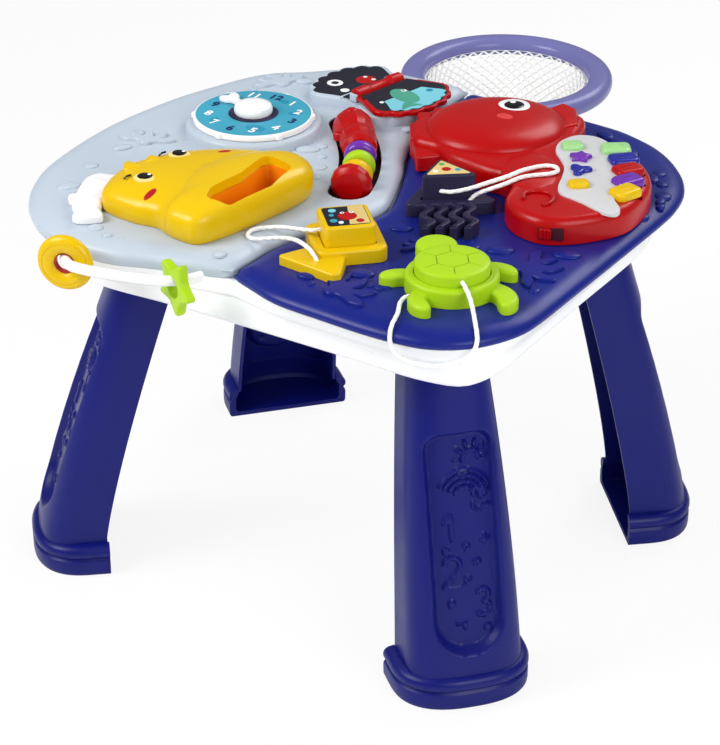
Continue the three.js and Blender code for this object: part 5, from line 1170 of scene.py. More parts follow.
# Shrimp and beads
rail_line = [(-68, 84), (-50, 65), (-33, 45), (-20, 27), (-9, 8), (0, -11), (7, -31)]
rail_z = 335
shrimp_radius = 13
rail_samples = 241
head_swells = [
    0.3, 0.86, 1.12, 1.26, 1.32, 1.34, 1.32, 1.28, 1.24, 1.1, 1.18, 1.22, 1.2, 1.1, 1.14, 1.12, 0.9,
]
tail_swells = [0.9, 1.16, 1.3, 1.34, 1.3, 1.24, 0.9]
rail_swells = [0.32, 0.32]
ridge_places = [(-50, 74, 40), (-62, 62, 200), (-40, 58, 36), (-52, 48, 215)]
ridge_bottom = 334
ridge_top = 341
# The top of the dark sheet of painted shade in the shrimp's slot.
shade_sheet_top = 330.6
ridge_outline = [(-5, -5), (4, -3.4), (7, 0), (4, 3.4), (-5, 5)]
bead_middle_radius = 9.1
bead_half_width = 4.4
bead_half_height = 5.5
bead_finishes = [
    ("purple", "purple_plastic", purple, 0.555), ("green", "green_plastic", green, 0.69),
    ("yellow", "yellow_plastic", yellow, 0.825),
]


def rail_points(start, end, count):
    """Places along the rail, between two shares of its length."""
    line = smooth(rail_line, rail_samples, closed=False)
    shares = [start + (end - start) * k / (count - 1) for k in range(count)]
    return [line[int(round((rail_samples - 1) * share))] for share in shares]


def rail_loop(half, steps=30, cap=10):
    """The outline of a slot round the rail."""
    line = np.array(rail_points(0, 1, steps))
    along = np.gradient(line, axis=0)
    along /= np.linalg.norm(along, axis=1, keepdims=True)
    side = np.stack([-along[:, 1], along[:, 0]], axis=1)
    left, right = line + side * half, line - side * half

    def round_end(middle, start):
        return [turned([start - middle], 180 * (k + 1) / cap, *middle)[0] for k in range(cap - 1)]

    return np.array([*right, *round_end(line[-1], right[-1]), *left[::-1], *round_end(line[0], left[0])])


def rail_body(name, start, end, swells, count=40, sides=14):
    """A body round the rail whose thickness follows a list of swells."""
    places = [at(x, y, rail_z) for x, y in rail_points(start, end, count)]
    steps = np.linspace(0, 1, len(swells))
    thick = [float(np.interp(k / (count - 1), steps, swells)) for k in range(count)]

    def swell(k, i):
        return thick[k]

    return tube(name, places, shrimp_radius, sides, swell=swell)


def make_shrimp():
    """The shrimp's faceted head and tail on one rail, painted shade in its slot, and the three beads."""
    head = rail_body("shrimp_head", 0, 0.49, head_swells, 17)
    tail = rail_body("shrimp_tail", 0.892, 1, tail_swells, 9)
    spindle = rail_body("shrimp_rail", 0.4, 0.95, rail_swells, 30, 28)
    knot = bead_dome("shrimp_knot", -57, 71, 350.4, 5, 2.6, 28)
    ridges = []
    for x, y, turn in ridge_places:
        outline = turned(smooth(ridge_outline, 28), turn, x, y)
        ridges.append(plate("ridge", outline, ridge_bottom, ridge_top, 2.6))
    whole = joined("shrimp_moulding", head, tail, spindle, knot, *ridges)
    finish(whole, "root", "red_plastic", red, "shrimp_frame", angle=22)
    # A thin dark cup of painted shade lines the slot, where its inside lies in shadow.
    shade_sheet = plate("slot_shade_sheet", rail_loop(pocket_half - 0.1), pocket_floor + 0.1, shade_sheet_top)
    shade_sheet = cut(shade_sheet, plate("slot_room", rail_loop(pocket_half - 0.7), pocket_floor + 1, 340))
    finish(shade_sheet, "root", "indigo_plastic", slot_painted_shade)
    section = ring_section(bead_middle_radius, bead_half_width, bead_half_height, 20, 0.8)
    for name, finish_slot, material, share in bead_finishes:
        before, middle, after = rail_points(share - 0.02, share + 0.02, 3)
        angle = math.atan2(after[1] - before[1], after[0] - before[0])
        turn = Matrix.Rotation(angle, 4, "Z") @ Matrix.Rotation(math.pi / 2, 4, "Y")
        bead = spun(f"{name}_bead_moulding", section, 56)
        move(bead, at(middle[0], middle[1], rail_z), turn)
        finish(bead, f"{name}_bead", finish_slot, material, f"bead_{name}")


# Ring rod
rod_start = (-125, -222, 323.8)
rod_length = 112
rod_reach = 36
rod_rise = 3
rod_radius = 4.2
rod_shares = [
    (-0.03, -0.26, 0), (0, 0, 0), (0.04, 0.3, 0.45), (0.12, 0.62, 0.8), (0.21, 0.8, 1),
    (0.32, 0.8, 1), (0.44, 0.74, 1), (0.56, 0.66, 1), (0.68, 0.56, 1), (0.78, 0.46, 1),
    (0.87, 0.32, 0.95), (0.94, 0.1, 0.7), (0.985, -0.16, 0.3), (1.01, -0.42, 0),
]
ring_turn = 17
star_turn = -25
star_radius = 23
star_inner_share = 0.64
star_half_thickness = 4
star_hole_radius = 8.6
ring_line_profile = [(17.4, 4.9), (19, 4.7), (19, 5.5), (17.4, 5.6)]
ring_bore_profile = [(7.6, -2.6), (8.2, -2.6), (8.2, 2.6), (7.6, 2.6)]


def rod_places(count):
    """Places along the rod, out from the tray's front and back to it."""
    x, y, z = rod_start
    places = [(x + a * rod_length, y - b * rod_reach, z + c * rod_rise) for a, b, c in rod_shares]
    return smooth(places, count, closed=False)


def hung(piece, place, turn):
    """A piece made flat, turned upright and set down at the middle of a box."""
    upright = Matrix.Rotation(math.pi / 2, 4, "X")
    return move(piece, (place[0] + place[1]) / 2, Matrix.Rotation(math.radians(turn), 4, "Z") @ upright)


def make_rod():
    """The rod with the yellow ring and the green star that hang on it."""
    rod = tube("rod_moulding", [at(*p) for p in rod_places(110)], rod_radius, 28)
    finish(rod, "root", "white_plastic", gloss_white, "ring_rod")
    ring_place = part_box("ring_yellow")
    star_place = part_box("star_green")
    ring = spun("ring_moulding", ring_section(15.2, 7.4, 5.5, 28), 72)
    lines = [spun("ring_line", ring_line_profile, 72) for _ in range(2)]
    lines[0].data.transform(Matrix.Rotation(math.pi, 4, "X"))
    ring = hung(joined("ring_moulding", ring, *lines), ring_place, ring_turn)
    bore = hung(spun("ring_bore", ring_bore_profile, 56), ring_place, ring_turn)
    finish(ring, "ring", "yellow_plastic", yellow, "ring_yellow")
    finish(bore, "ring", "red_plastic", dark_red)
    outline = star_outline(star_radius, star_radius * star_inner_share, 100, 64)
    star = plate(
        "star_moulding", outline, -star_half_thickness, star_half_thickness, 1.8, 1.8, spot=from_middle,
    )
    star = cut(star, plate("hole", circle(star_hole_radius, 48), -9, 9, spot=from_middle))
    finish(hung(star, star_place, star_turn), "star", "green_plastic", green, "star_green")


# Hoop and net
hoop_x = -34
hoop_y = 290
hoop_z = 310
hoop_radius = 84
hoop_half_width = 11
hoop_half_height = 8.5
arm_reach = 93
arm_bottom = 304.2
arm_top = 315.8
net_around = 42
net_rows = 12
net_top = 309
net_height = 92
net_top_radius = 71.6
net_foot_radius = 46
net_thread = 2.6
hem_profile = [(45.4, -1), (46.6, -1), (46.6, 1), (45.4, 1)]


def make_hoop():
    """The round hoop on its flat arm."""
    section = ring_section(hoop_radius, hoop_half_width, hoop_half_height, 28, 0.85)
    ring = move(spun("hoop_ring", section, 128), at(hoop_x, hoop_y, hoop_z))
    arm_outline = turned(rounded_box(58, 34, 4), 0, hoop_x, hoop_y - arm_reach)
    arm = plate("hoop_arm", arm_outline, arm_bottom, arm_top, 2.5, 2.5)
    finish(joined("hoop_moulding", ring, arm), "root", "lilac_plastic", lilac, "hoop")


def net_places():
    """The net's knots, row by row from the hoop down."""
    places = []
    for row in range(net_rows + 1):
        share = row / net_rows
        radius = net_top_radius + (net_foot_radius - net_top_radius) * share ** 0.8
        for k in range(net_around + 1):
            turn = k % net_around * 360 / net_around
            wave = 1 + 0.012 * math.sin(3 * math.radians(turn) + share * 4) * share
            places.append(at(*polar(radius * wave, turn, hoop_x, hoop_y), net_top - net_height * share))
    return places


def make_net():
    """Small slanted meshes of thread that narrow downwards from the hoop."""
    piece = wrapped_grid("net_thread", net_around + 1, net_rows + 1, net_places())
    ends = (net_top * mm, (net_top - net_height) * mm)
    heights = [vertex.co.z for vertex in piece.data.vertices]
    upright_or_level = set()
    for edge in piece.data.edges:
        on_an_end = all(min(abs(heights[v] - end) for end in ends) < 0.0001 for v in edge.vertices)
        if not on_an_end:
            upright_or_level.add(tuple(sorted(edge.vertices)))
    bpy.ops.object.mode_set(mode="EDIT")
    bpy.ops.mesh.select_all(action="SELECT")
    bpy.ops.mesh.poke()
    bpy.ops.mesh.select_all(action="DESELECT")
    bpy.ops.mesh.select_mode(type="EDGE")
    bpy.ops.object.mode_set(mode="OBJECT")
    for edge in piece.data.edges:
        edge.select = tuple(sorted(edge.vertices)) in upright_or_level
    bpy.ops.object.mode_set(mode="EDIT")
    bpy.ops.mesh.dissolve_edges(use_verts=False)
    bpy.ops.mesh.select_mode(type="VERT")
    bpy.ops.object.mode_set(mode="OBJECT")
    pick(piece)
    wire = piece.modifiers.new("thread", "WIREFRAME")
    wire.thickness = net_thread * mm
    wire.use_even_offset = False
    bpy.ops.object.modifier_apply(modifier=wire.name)
    hem = move(spun("net_hem", hem_profile, 56), at(hoop_x, hoop_y, net_top - net_height + 1.2))
    finish(joined("net_thread", piece, hem), "root", "cord", thread, "hoop_net")


# Music unit
music_x = 109
music_y = 72
music_width = 240
music_depth = 204
music_bottom = 328.3
music_top = 350.3
music_shares = [
    (0.97, -0.13), (0.985, -0.42), (0.93, -0.61), (0.82, -0.8), (0.69, -0.94), (0.55, -0.99),
    (0.37, -0.93), (0.23, -0.78), (0.16, -0.58), (0.04, -0.39), (-0.12, -0.38), (-0.3, -0.34),
    (-0.45, -0.3), (-0.6, -0.2), (-0.77, -0.19), (-0.87, -0.06), (-0.95, 0.12), (-0.9, 0.3),
    (-0.97, 0.42), (-0.82, 0.6), (-0.7, 0.8), (-0.55, 0.92), (-0.36, 0.97), (-0.16, 0.99),
    (0.0, 0.95), (0.07, 0.84), (0.14, 0.58), (0.26, 0.57), (0.42, 0.53), (0.6, 0.46),
    (0.74, 0.36), (0.86, 0.2), (0.93, 0.05),
]
head_x = 61
head_y = 108
head_radius = 59
head_top = 362.4
head_foot = 330
head_dome_bottom = 343
head_turn = 52
crest_blocks = [
    ([(-16, 108), (2, 122), (20, 104), (2, 84)], 346),
    ([(-8, 84), (10, 98), (28, 76), (10, 56)], 347),
    ([(9, 62), (26, 76), (52, 58), (30, 33)], 343),
    ([(78, 160), (84, 180), (100, 174), (117, 146), (108, 130)], 352),
]
snout_corners = [
    (100, 60), (110, 84), (132, 77), (146, 66), (158, 34), (154, 20), (140, 10), (119, 18), (106, 38),
]
hook_places = [
    (152, -6, 351.2), (148, 3, 351.4), (152, 11, 351.4), (162, 14, 351.4), (170, 9, 351.4),
    (173, -1, 351.2), (170, -8, 350.8),
]
bezel_places = [
    (146, 130), (134, 129), (125, 121), (122, 104), (128, 88), (139, 76), (149, 64), (157, 46),
    (163, 29), (171, 18), (182, 15), (194, 12), (208, 7), (219, 5), (226, 8), (224, 18), (213, 30),
    (206, 42), (203, 58), (195, 74), (186, 88), (177, 100), (168, 112), (158, 124),
]
keys = [
    ("green", "mint_plastic", mint, 0.5, 0.41, 35), ("blue", "blue_plastic", blue, 0.625, 0.26, 45),
    ("red", "red_plastic", red, 0.73, 0.1, 55), ("purple", "purple_plastic", purple, 0.81, -0.08, 64),
    ("yellow", "yellow_plastic", yellow, 0.875, -0.27, 72),
]
well_top = 356
button_well_bottom = 347
key_well_bottom = 346
bezel_bottom = 349
bezel_top = 352.4
button_turn = 40
button_bottom = 351.4
button_top = 355.8
key_bottom = 350
key_top = 356.4


def on_music(a, b):
    """Shares of the music unit's half width and half depth as a place on the table."""
    return music_x + a * music_width / 2, music_y + b * music_depth / 2


def clover_outline():
    """Three round leaves."""
    points = [polar(7.4 + 2.6 * math.cos(math.radians(45 * k)), 15 * k) for k in range(24)]
    return smooth(points, 90)


buttons = [
    ("green", "mint_plastic", mint, 0.23, 0.28, rounded_box(18, 15, 5)),
    ("star", "purple_plastic", purple, 0.365, 0.12, star_outline(9.6, 6.6, 60)),
    ("clover", "blue_plastic", blue, 0.465, -0.1, clover_outline()),
    ("yellow", "yellow_plastic", yellow, 0.565, -0.34, rounded_box(17, 14, 5)),
]


def make_eye(name, x, y, z, radius, look):
    """An eye: a white dome, a black pupil that looks aside, and a small white glint."""
    white_dome = bead_dome(f"{name}_white", x, y, z, radius, 1.6)
    finish(white_dome, "root", "white_plastic", gloss_white)
    x, y = x + look[0], y + look[1]
    pupil = bead_dome(f"{name}_pupil", x, y, z + 1.2, radius * 0.62, 1.3)
    finish(pupil, "root", "speaker_black", black)
    glint_shift = radius * 0.2
    glint = bead_dome(f"{name}_glint", x - glint_shift, y + glint_shift, z + 2.4, radius * 0.18, 0.5)
    finish(glint, "root", "white_plastic", gloss_white)


def make_casing():
    """The seahorse: a low casing with wells, a domed head, a crest, a snout and a curled tail."""
    outline = smooth(scaled(music_shares, music_width, music_depth, music_x, music_y), 180)
    casing = plate("casing", outline, music_bottom, music_top, 7.5, 1, width=6.5, steps=8)
    for _, _, _, a, b, _ in buttons:
        casing = cut(casing, plate("well", circle(13, 40, *on_music(a, b)), button_well_bottom, well_top))
    for _, _, _, a, b, turn in keys:
        well = turned(rounded_box(24.6, 19, 3), turn, *on_music(a, b))
        casing = cut(casing, plate("well", well, key_well_bottom, well_top))
    head_outline = turned(circle(head_radius, 96, stretch=0.93), head_turn, head_x, head_y)
    dome = dome_rings(head_outline, head_dome_bottom, head_top, head_x, head_y, steps=16, power=3)
    head = solid("head", [(head_outline, head_foot)] + dome)
    crest = []
    for corners, top in crest_blocks:
        crest.append(plate("crest", rounded_corners(corners, 3.5), head_foot, top, 2.4, steps=4))
    facet = np.array(snout_corners)
    rings = [(facet, 344), (facet, 349.4)]
    rings += [(toward(facet, 0.9, 128, 44), 350.7), (toward(facet, 0.5, 124, 48), 351)]
    snout = solid("snout", rings)
    hook = tube("hook", frame_line(hook_places, 60), 1.6, 14)
    whole = joined("music_moulding", casing, head, hook, snout, *crest)
    finish(whole, "root", "red_plastic", red, "music_top", angle=32)


def make_music():
    """The casing, the face, the bezel, and the keys and buttons in their wells."""
    make_casing()
    make_eye("seahorse_eye", 64, 131, 361.4, 13.6, (1, -1))
    cheek = bead_dome("seahorse_cheek", 69, 106, 362, 8.5, 0.5, stretch=0.75)
    finish(cheek, "root", "orange_plastic", cheek_pink)
    bezel = plate("bezel_plate", smooth(bezel_places, 160), bezel_bottom, bezel_top, 1.4, steps=4)
    finish(bezel, "root", "white_plastic", bezel_white, "key_bezel")
    for name, finish_slot, material, a, b, turn in keys:
        x, y = on_music(a, b)
        key = plate("key", turned(rounded_box(24, 18.4, 5), turn, x, y), key_bottom, key_top, 2.8)
        dash = plate("dash", turned(rounded_box(10, 6, 1.4), turn, x, y), 356, 356.9, 0.5)
        dent = plate("dent", turned(rounded_box(7, 2.6, 1), turn, x, y), 356.6, 359)
        key = joined(f"{name}_key_cap", key, cut(dash, dent))
        finish(key, f"{name}_key", finish_slot, material, f"key_{name}")
    for name, finish_slot, material, a, b, shape in buttons:
        outline = turned(shape, button_turn, *on_music(a, b))
        button = plate(f"{name}_button_cap", outline, button_bottom, button_top, 2)
        finish(button, f"{name}_button", finish_slot, material, f"button_{name}")


# Slide switch
switch_turn = 21
switch_slot_shift = 4.5


def make_switch():
    """The ribbed knob, and a dark plate of painted shade for the slot that it slides in."""
    low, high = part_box("switch_knob")
    middle = (low + high) / 2
    turn = Matrix.Rotation(math.radians(switch_turn), 4, "Z") @ Matrix.Rotation(math.pi / 2, 4, "X")
    body = plate("switch_body", rounded_box(9.6, 9, 2), -4.5, 4.8, 0.8, spot=from_middle)
    ribs = []
    for k in (-1, 0, 1):
        rib = turned(rounded_box(1.4, 8, 0.6), 0, k * 2.7, 0)
        ribs.append(plate("rib", rib, 4, 5.6, 0.5, spot=from_middle))
    knob = move(joined("switch_moulding", body, *ribs), middle, turn)
    finish(knob, "switch", "red_plastic", red, "switch_knob")
    # Painted shade: a dark plate stands for the shadow in the slot's opening.
    opening = plate("switch_slot", rounded_box(20, 10.5, 2), -2.6, 3.4, 0.3, spot=from_middle)
    shift = Matrix.Rotation(math.radians(switch_turn), 3, "Z") @ from_middle(switch_slot_shift, 0, 0)
    finish(move(opening, middle + shift, turn), "root", "indigo_plastic", slot_painted_shade)


# Puffer fish
puffer_x = -81
puffer_y = -108
puffer_width = 136
puffer_depth = 148
puffer_bottom = 332.3
puffer_waist = 335
puffer_dome_bottom = 340
puffer_top = 359.3
lip_x = puffer_x + 33
lip_y = puffer_y - 1
lip_rim = 339
lip_dome_bottom = 344
lip_top = 363.3
mouth_bottom = 338
mouth_cut_top = 380
spike_bottom = 344
spike_top = 357.5
fin_top = 339.8
lobe_top = 340.2
puffer_shares = [
    (-1.01, -0.22), (-0.94, -0.57), (-0.76, -0.83), (-0.31, -0.905), (0.02, -0.875), (0.22, -0.945),
    (0.42, -0.96), (0.58, -0.93), (0.69, -0.78), (0.78, -0.5), (0.86, -0.12), (0.94, 0.36),
    (0.93, 0.66), (0.78, 0.86), (0.5, 0.98), (0.2, 1), (-0.15, 0.86), (-0.485, 0.64), (-0.8, 0.3),
    (-0.96, 0),
]
lip_shares = [
    (0.22, -0.945), (0.44, -1.01), (0.66, -1), (0.79, -0.84), (0.89, -0.53), (0.98, -0.12),
    (1.06, 0.38), (1.03, 0.7), (0.84, 0.92), (0.53, 1.02), (0.22, 0.82), (0.02, 0.56),
    (-0.09, 0.27), (-0.13, -0.05), (-0.05, -0.35), (0.1, -0.63),
]
fin_shares = [
    (-1.05, -0.15), (-1.22, -0.17), (-1.35, -0.22), (-1.4, -0.37), (-1.33, -0.56), (-1.2, -0.82),
    (-1.08, -1), (-0.93, -1.08), (-0.8, -1.05), (-0.76, -0.9), (-0.85, -0.7), (-0.92, -0.45),
]
mouth_corners = [(-50, -64), (-20, -70), (-17, -104), (-25, -152), (-43, -157), (-49, -140), (-45, -106)]
spike_places = [(-138, -128, 155), (-130, -108, 140)]
spike_outline = [(-8, -7), (1, -5), (6, 0), (1, 5), (-8, 7)]
puffer_eyes = [("near_eye", -110, -144, 9.4), ("far_eye", -114, -93, 9)]
puffer_cheeks = [("near_cheek", -92, -162, 354.4, 84, 22), ("far_cheek", -88, -70, 356.9, 60, 0)]
fin_lobes = [(-160, -139, 150), (-156, -168, 195), (-134, -190, 235)]
lobe_outline = [(-11, -8), (5, -6.4), (11, 0), (5, 6.4), (-11, 8)]


def on_puffer(shares, count):
    """A table of the puffer's shares as a smooth outline on the table."""
    return smooth(scaled(shares, puffer_width, puffer_depth, puffer_x, puffer_y), count)


def make_puffer_shell():
    """The domed body, the big lips and two soft spikes, with the mouth cut through them."""
    outline = on_puffer(puffer_shares, 150)
    rings = [(shrunk(outline, 1.5), puffer_bottom), (outline, puffer_waist)]
    rings += dome_rings(outline, puffer_dome_bottom, puffer_top, puffer_x, puffer_y, steps=14, power=2.9)
    body = solid("puffer_body", rings)
    outline = on_puffer(lip_shares, 120)
    rings = [(shrunk(outline, 3), puffer_bottom), (shrunk(outline, 1.2), puffer_waist), (outline, lip_rim)]
    rings += dome_rings(outline, lip_dome_bottom, lip_top, lip_x, lip_y, steps=16, power=3.3)
    lip = solid("puffer_lip", rings)
    spikes = []
    for x, y, turn in spike_places:
        outline = turned(smooth(spike_outline, 32), turn, x, y)
        spikes.append(plate("spike", outline, spike_bottom, spike_top, 3))
    shell = joined("puffer_moulding", body, lip, *spikes)
    mouth = rounded_corners(mouth_corners, 8, 8)
    shell = cut(shell, plate("mouth", mouth, mouth_bottom, mouth_cut_top), several_shells=True)
    finish(shell, "root", "yellow_plastic", yellow, "puffer_shell", angle=40)
    cup = solid("throat_cup", [
        (shrunk(mouth, 5), 336.6), (shrunk(mouth, 3.6), 337), (shrunk(mouth, -0.2), 355.4),
    ])
    hollow = solid("hollow", [(shrunk(mouth, 6), 338.6), (shrunk(mouth, 1.2), 358)])
    finish(cut(cup, hollow), "root", "orange_plastic", orange, "puffer_throat")


def make_puffer():
    """The shell, its eyes with brows, its cheeks and the white fin."""
    make_puffer_shell()
    for name, x, y, radius in puffer_eyes:
        patch = bead_dome(f"{name}_patch", x, y, 357.6, radius, 0.9, stretch=0.86, turn=20)
        finish(patch, "root", "yellow_plastic", sclera)
        pupil = bead_dome(name, x - 1, y + 1, 358.4, radius * 0.64, 0.9)
        finish(pupil, "root", "speaker_black", black)
        glint = bead_dome(f"{name}_glint", x + 1, y + 4, 359.1, 1.5, 0.5, 20)
        finish(glint, "root", "white_plastic", gloss_white)
        line = [(x - 13, y - 10, 357.2), (x - 13.4, y - 6, 357.6), (x - 12, y - 2.4, 357.8)]
        brow = tube(f"{name}_brow", frame_line(line, 16), 0.8, 10)
        finish(brow, "root", "speaker_black", black)
    for name, x, y, z, turn, slope in puffer_cheeks:
        cheek = bead_dome(name, x, y, z, 7, 1.1, stretch=0.44, turn=turn)
        place = at(x, y, z)
        move(cheek, -place)
        move(cheek, place, Matrix.Rotation(math.radians(slope), 4, "X"))
        finish(cheek, "root", "red_plastic", dark_red)
    fin = [plate("fin", on_puffer(fin_shares, 80), puffer_bottom, fin_top, 3.4, 1)]
    for x, y, turn in fin_lobes:
        lobe = turned(smooth(lobe_outline, 40), turn, x, y)
        fin.append(plate("lobe", lobe, puffer_bottom, lobe_top, 3.6, 1))
    finish(joined("fin_moulding", *fin), "root", "white_plastic", gloss_white, "puffer_fin")


# Sorters: each a frame with a pocket, and a block in it
sorter_bottom = 328.3
pocket_bottom = 330
pocket_top = 352
block_bottom = 330.2

# Fish sorter
fish_x = 59.5
fish_y = -116
fish_turn = 44
fish_tail_shares = [(-0.31, -0.7), (-0.52, -1.43), (0.42, -1.6), (0.5, -1.45), (0.24, -0.55)]
fish_tail_width = 57
fish_tail_depth = 35
fish_tail_top = 336.3
fish_frame_top = 340.3
fish_block_top = 356.3
fish_print_top = 356.7
fish_dots = [
    (1, -1, 0, 7.4, red), (-2, 5, 1, 1.8, gloss_white), (5, 5, 2, 1.8, gloss_white),
    (-2, 5, 3, 0.9, ink), (5, 5, 4, 0.9, ink), (-11, -8, 5, 3, teal), (-11, 2, 6, 2, teal),
    (-9, 10, 7, 3, sky), (9, -11, 8, 3, dark_red), (-6, -12, 9, 2, gloss_white),
]


def on_fish(outline):
    """An outline of the fish's own frame, put on the table."""
    return turned(outline, fish_turn, fish_x, fish_y)


def make_fish():
    """A square frame with a tail, and a block with a print in two halves."""
    ring = plate("fish_ring", on_fish(rounded_box(56, 56, 8)), sorter_bottom, fish_frame_top, 2.6)
    ring = cut(ring, plate("pocket", on_fish(rounded_box(41.4, 41.4, 4.4)), pocket_bottom, pocket_top))
    corners = [(fish_x + a * fish_tail_width, fish_y + b * fish_tail_depth) for a, b in fish_tail_shares]
    tail = plate("fish_tail", rounded_corners(corners, 3), sorter_bottom, fish_tail_top, 2)
    finish(joined("fish_frame_moulding", ring, tail), "root", "yellow_plastic", yellow, "fish_frame")
    block = plate("fish_cube", on_fish(rounded_box(40, 40, 4)), block_bottom, fish_block_top, 2, 1)
    finish(block, "fish", "yellow_plastic", yellow, "fish_block")
    label = plate("fish_print", on_fish(rounded_box(33, 33, 2.5)), 355.9, fish_print_top, 0.2)
    finish(label, "fish", "tan_print", midnight, "fish_label")
    sand = plate("fish_sand", on_fish([(0, -16), (16, -16), (16, 16), (4, 16)]), 356.4, 356.85, 0.1)
    finish(sand, "fish", "tan_print", tan)
    print_dots("fish_dot", fish_dots, on_fish, 356.8, 0.04, 0.25, 32, "fish", "tan_print")


# Jellyfish sorter
jelly_x = 82
jelly_y = -6
jelly_arms = 4
arm_gap = 11.2
arm_length = 50
arm_start = 14
arm_half_width = 2.9
arm_wave = 3.5
arm_turn = -55.5
arm_steps = 24
jelly_arm_top = 339.2
jelly_frame_top = 339.3
jelly_block_top = 359.3
jelly_print_top = 359.6
triangle_shares = [(-0.36, 0.36), (-0.22, -0.5), (0.58, 0.14)]
jelly_dots = [
    (0, 0, 0, 3.6, red), (-8, 6, 0, 2.2, leaf_print), (8, 4, 0, 2.4, teal), (-5, -8, 0, 2.2, gloss_white),
]


def on_jelly(outline):
    """An outline of the jellyfish's own frame, put on the table."""
    return turned(outline, 0, jelly_x, jelly_y)


def triangle(size, radius):
    """The jellyfish's rounded triangle, on the table."""
    corners = [(a * size, b * size) for a, b in triangle_shares]
    return on_jelly(rounded_corners(corners, radius, 8))


def make_jelly():
    """A triangular frame with four wavy arms, and a block with a print."""
    ring = plate("jelly_ring", triangle(77.4, 13), sorter_bottom, jelly_frame_top, 2)
    ring = cut(ring, plate("pocket", triangle(48.6, 3), pocket_bottom, pocket_top))
    arms = []
    for k in range(jelly_arms):
        middle = (k - (jelly_arms - 1) / 2) * arm_gap
        line = []
        for i in range(arm_steps + 1):
            share = i / arm_steps
            line.append((arm_start + arm_length * share, middle - arm_wave * math.cos(share * 4 * math.pi)))
        lower = [(a, b - arm_half_width) for a, b in line]
        upper = [(a, b + arm_half_width) for a, b in line]
        outline = turned(lower + upper[::-1], arm_turn, jelly_x, jelly_y)
        arms.append(plate("arm", outline, sorter_bottom, jelly_arm_top, 1.2, steps=4))
    frame_piece = joined("jelly_frame_moulding", ring, *arms)
    finish(frame_piece, "root", "indigo_plastic", indigo, "jelly_frame")
    block = plate("jelly_wedge", triangle(45, 3.2), block_bottom, jelly_block_top, 1.8, 1)
    finish(block, "jelly", "indigo_plastic", indigo, "jelly_block")
    label = plate("jelly_print", triangle(35, 1.5), 358.9, jelly_print_top, 0.2)
    finish(label, "jelly", "tan_print", tan, "jelly_label")
    print_dots("jelly_dot", jelly_dots, on_jelly, 359.8, 0, 0.25, 28, "jelly", "tan_print")


# Turtle sorter
turtle_x = 162
turtle_y = -129
turtle_head_turn = 141
turtle_head_reach = 34.5
turtle_head_radius = 16
turtle_head_top = 350.3
neck_radius = 16.7
turtle_frame_radius = 35.5
turtle_frame_top = 342.3
turtle_pocket_radius = 29.2
flipper_top = 337.3
flipper_round_from = 0.68
flippers = [(70, 43, 49, 15), (-163, -149, 52, 15), (6, -18, 58, 17), (-102, -77, 53, 15)]
shell_radius = 28.5
shell_top = 352
groove_turn = 0.1
groove_inner_reach = 13.5
groove_outer_reach = 24.5
groove_width = 0.9
groove_bottom = 351.2


def flipper_outline(root, tip, reach, width):
    """A bent flipper from its bearing at the shell to its bearing at the tip, with a round end."""
    start, bend, end = (np.array(polar(*p)) for p in ((30, root), (reach * 0.9, root), (reach, tip)))
    left, right = [], []
    for i in range(0, 21, 2):
        share = math.sin(i / 20 * math.pi / 2)
        place = (1 - share) ** 2 * start + 2 * share * (1 - share) * bend + share ** 2 * end
        along = 2 * (1 - share) * (bend - start) + 2 * share * (end - bend)
        along /= np.linalg.norm(along)
        past = max(0.0, (share - flipper_round_from) / (1 - flipper_round_from))
        half = width * 0.5 * math.sqrt(max(0.0, 1 - past ** 2)) * (1 - 0.1 * share)
        side = np.array([-along[1], along[0]]) * half
        left.append(place + side)
        right.append(place - side)
    return turned(smooth([*left, *right[::-1]], 60), 0, turtle_x, turtle_y)


def groove_points(reach):
    """Six places round the shell, where its grooves meet or end."""
    turns = [k * math.pi / 3 + groove_turn for k in range(6)]
    return [(turtle_x + reach * math.cos(turn), turtle_y + reach * math.sin(turn)) for turn in turns]


def groove_bar(start, end):
    """A narrow bar between two places, for cutting a groove."""
    length = math.hypot(end[0] - start[0], end[1] - start[1])
    turn = math.degrees(math.atan2(end[1] - start[1], end[0] - start[0]))
    middle = (start[0] + end[0]) / 2, (start[1] + end[1]) / 2
    outline = turned(rounded_box(length, groove_width, 0.4, 3), turn, *middle)
    return plate("groove", outline, groove_bottom, 353)


def make_turtle():
    """A round frame with four flippers, and a block whose shell has grooves."""
    head_place = polar(turtle_head_reach, turtle_head_turn, turtle_x, turtle_y)
    outline = circle(turtle_frame_radius, 96, turtle_x, turtle_y)
    ring = plate("turtle_ring", outline, sorter_bottom, turtle_frame_top, 3)
    outline = circle(turtle_pocket_radius, 80, turtle_x, turtle_y)
    pocket = plate("pocket", outline, pocket_bottom, pocket_top)
    neck = plate("neck", circle(neck_radius, 64, *head_place), pocket_bottom, pocket_top)
    ring = cut(ring, pocket, neck)
    paddles = []
    for shape in flippers:
        paddles.append(plate("flipper", flipper_outline(*shape), sorter_bottom, flipper_top, 3))
    frame_piece = joined("turtle_frame_moulding", ring, *paddles)
    finish(frame_piece, "root", "green_plastic", green, "turtle_frame")
    outline = circle(shell_radius, 96, turtle_x, turtle_y)
    dome = dome_rings(outline, 348.6, shell_top, turtle_x, turtle_y, steps=10, power=5)
    shell = solid("turtle_shell", [(outline, block_bottom)] + dome)
    outline = circle(turtle_head_radius, 72, *head_place)
    head = plate("turtle_head", outline, block_bottom, turtle_head_top, 3.2, 1)
    inner, outer = groove_points(groove_inner_reach), groove_points(groove_outer_reach)
    for k in range(6):
        shell = cut(shell, groove_bar(inner[k], inner[(k + 1) % 6]), groove_bar(inner[k], outer[k]))
    block = joined("turtle_block_moulding", shell, head)
    finish(block, "turtle", "green_plastic", green, "turtle_block", angle=40)


# Cords
braid_strands = 3
braid_pitch = 7
braid_sides = 20


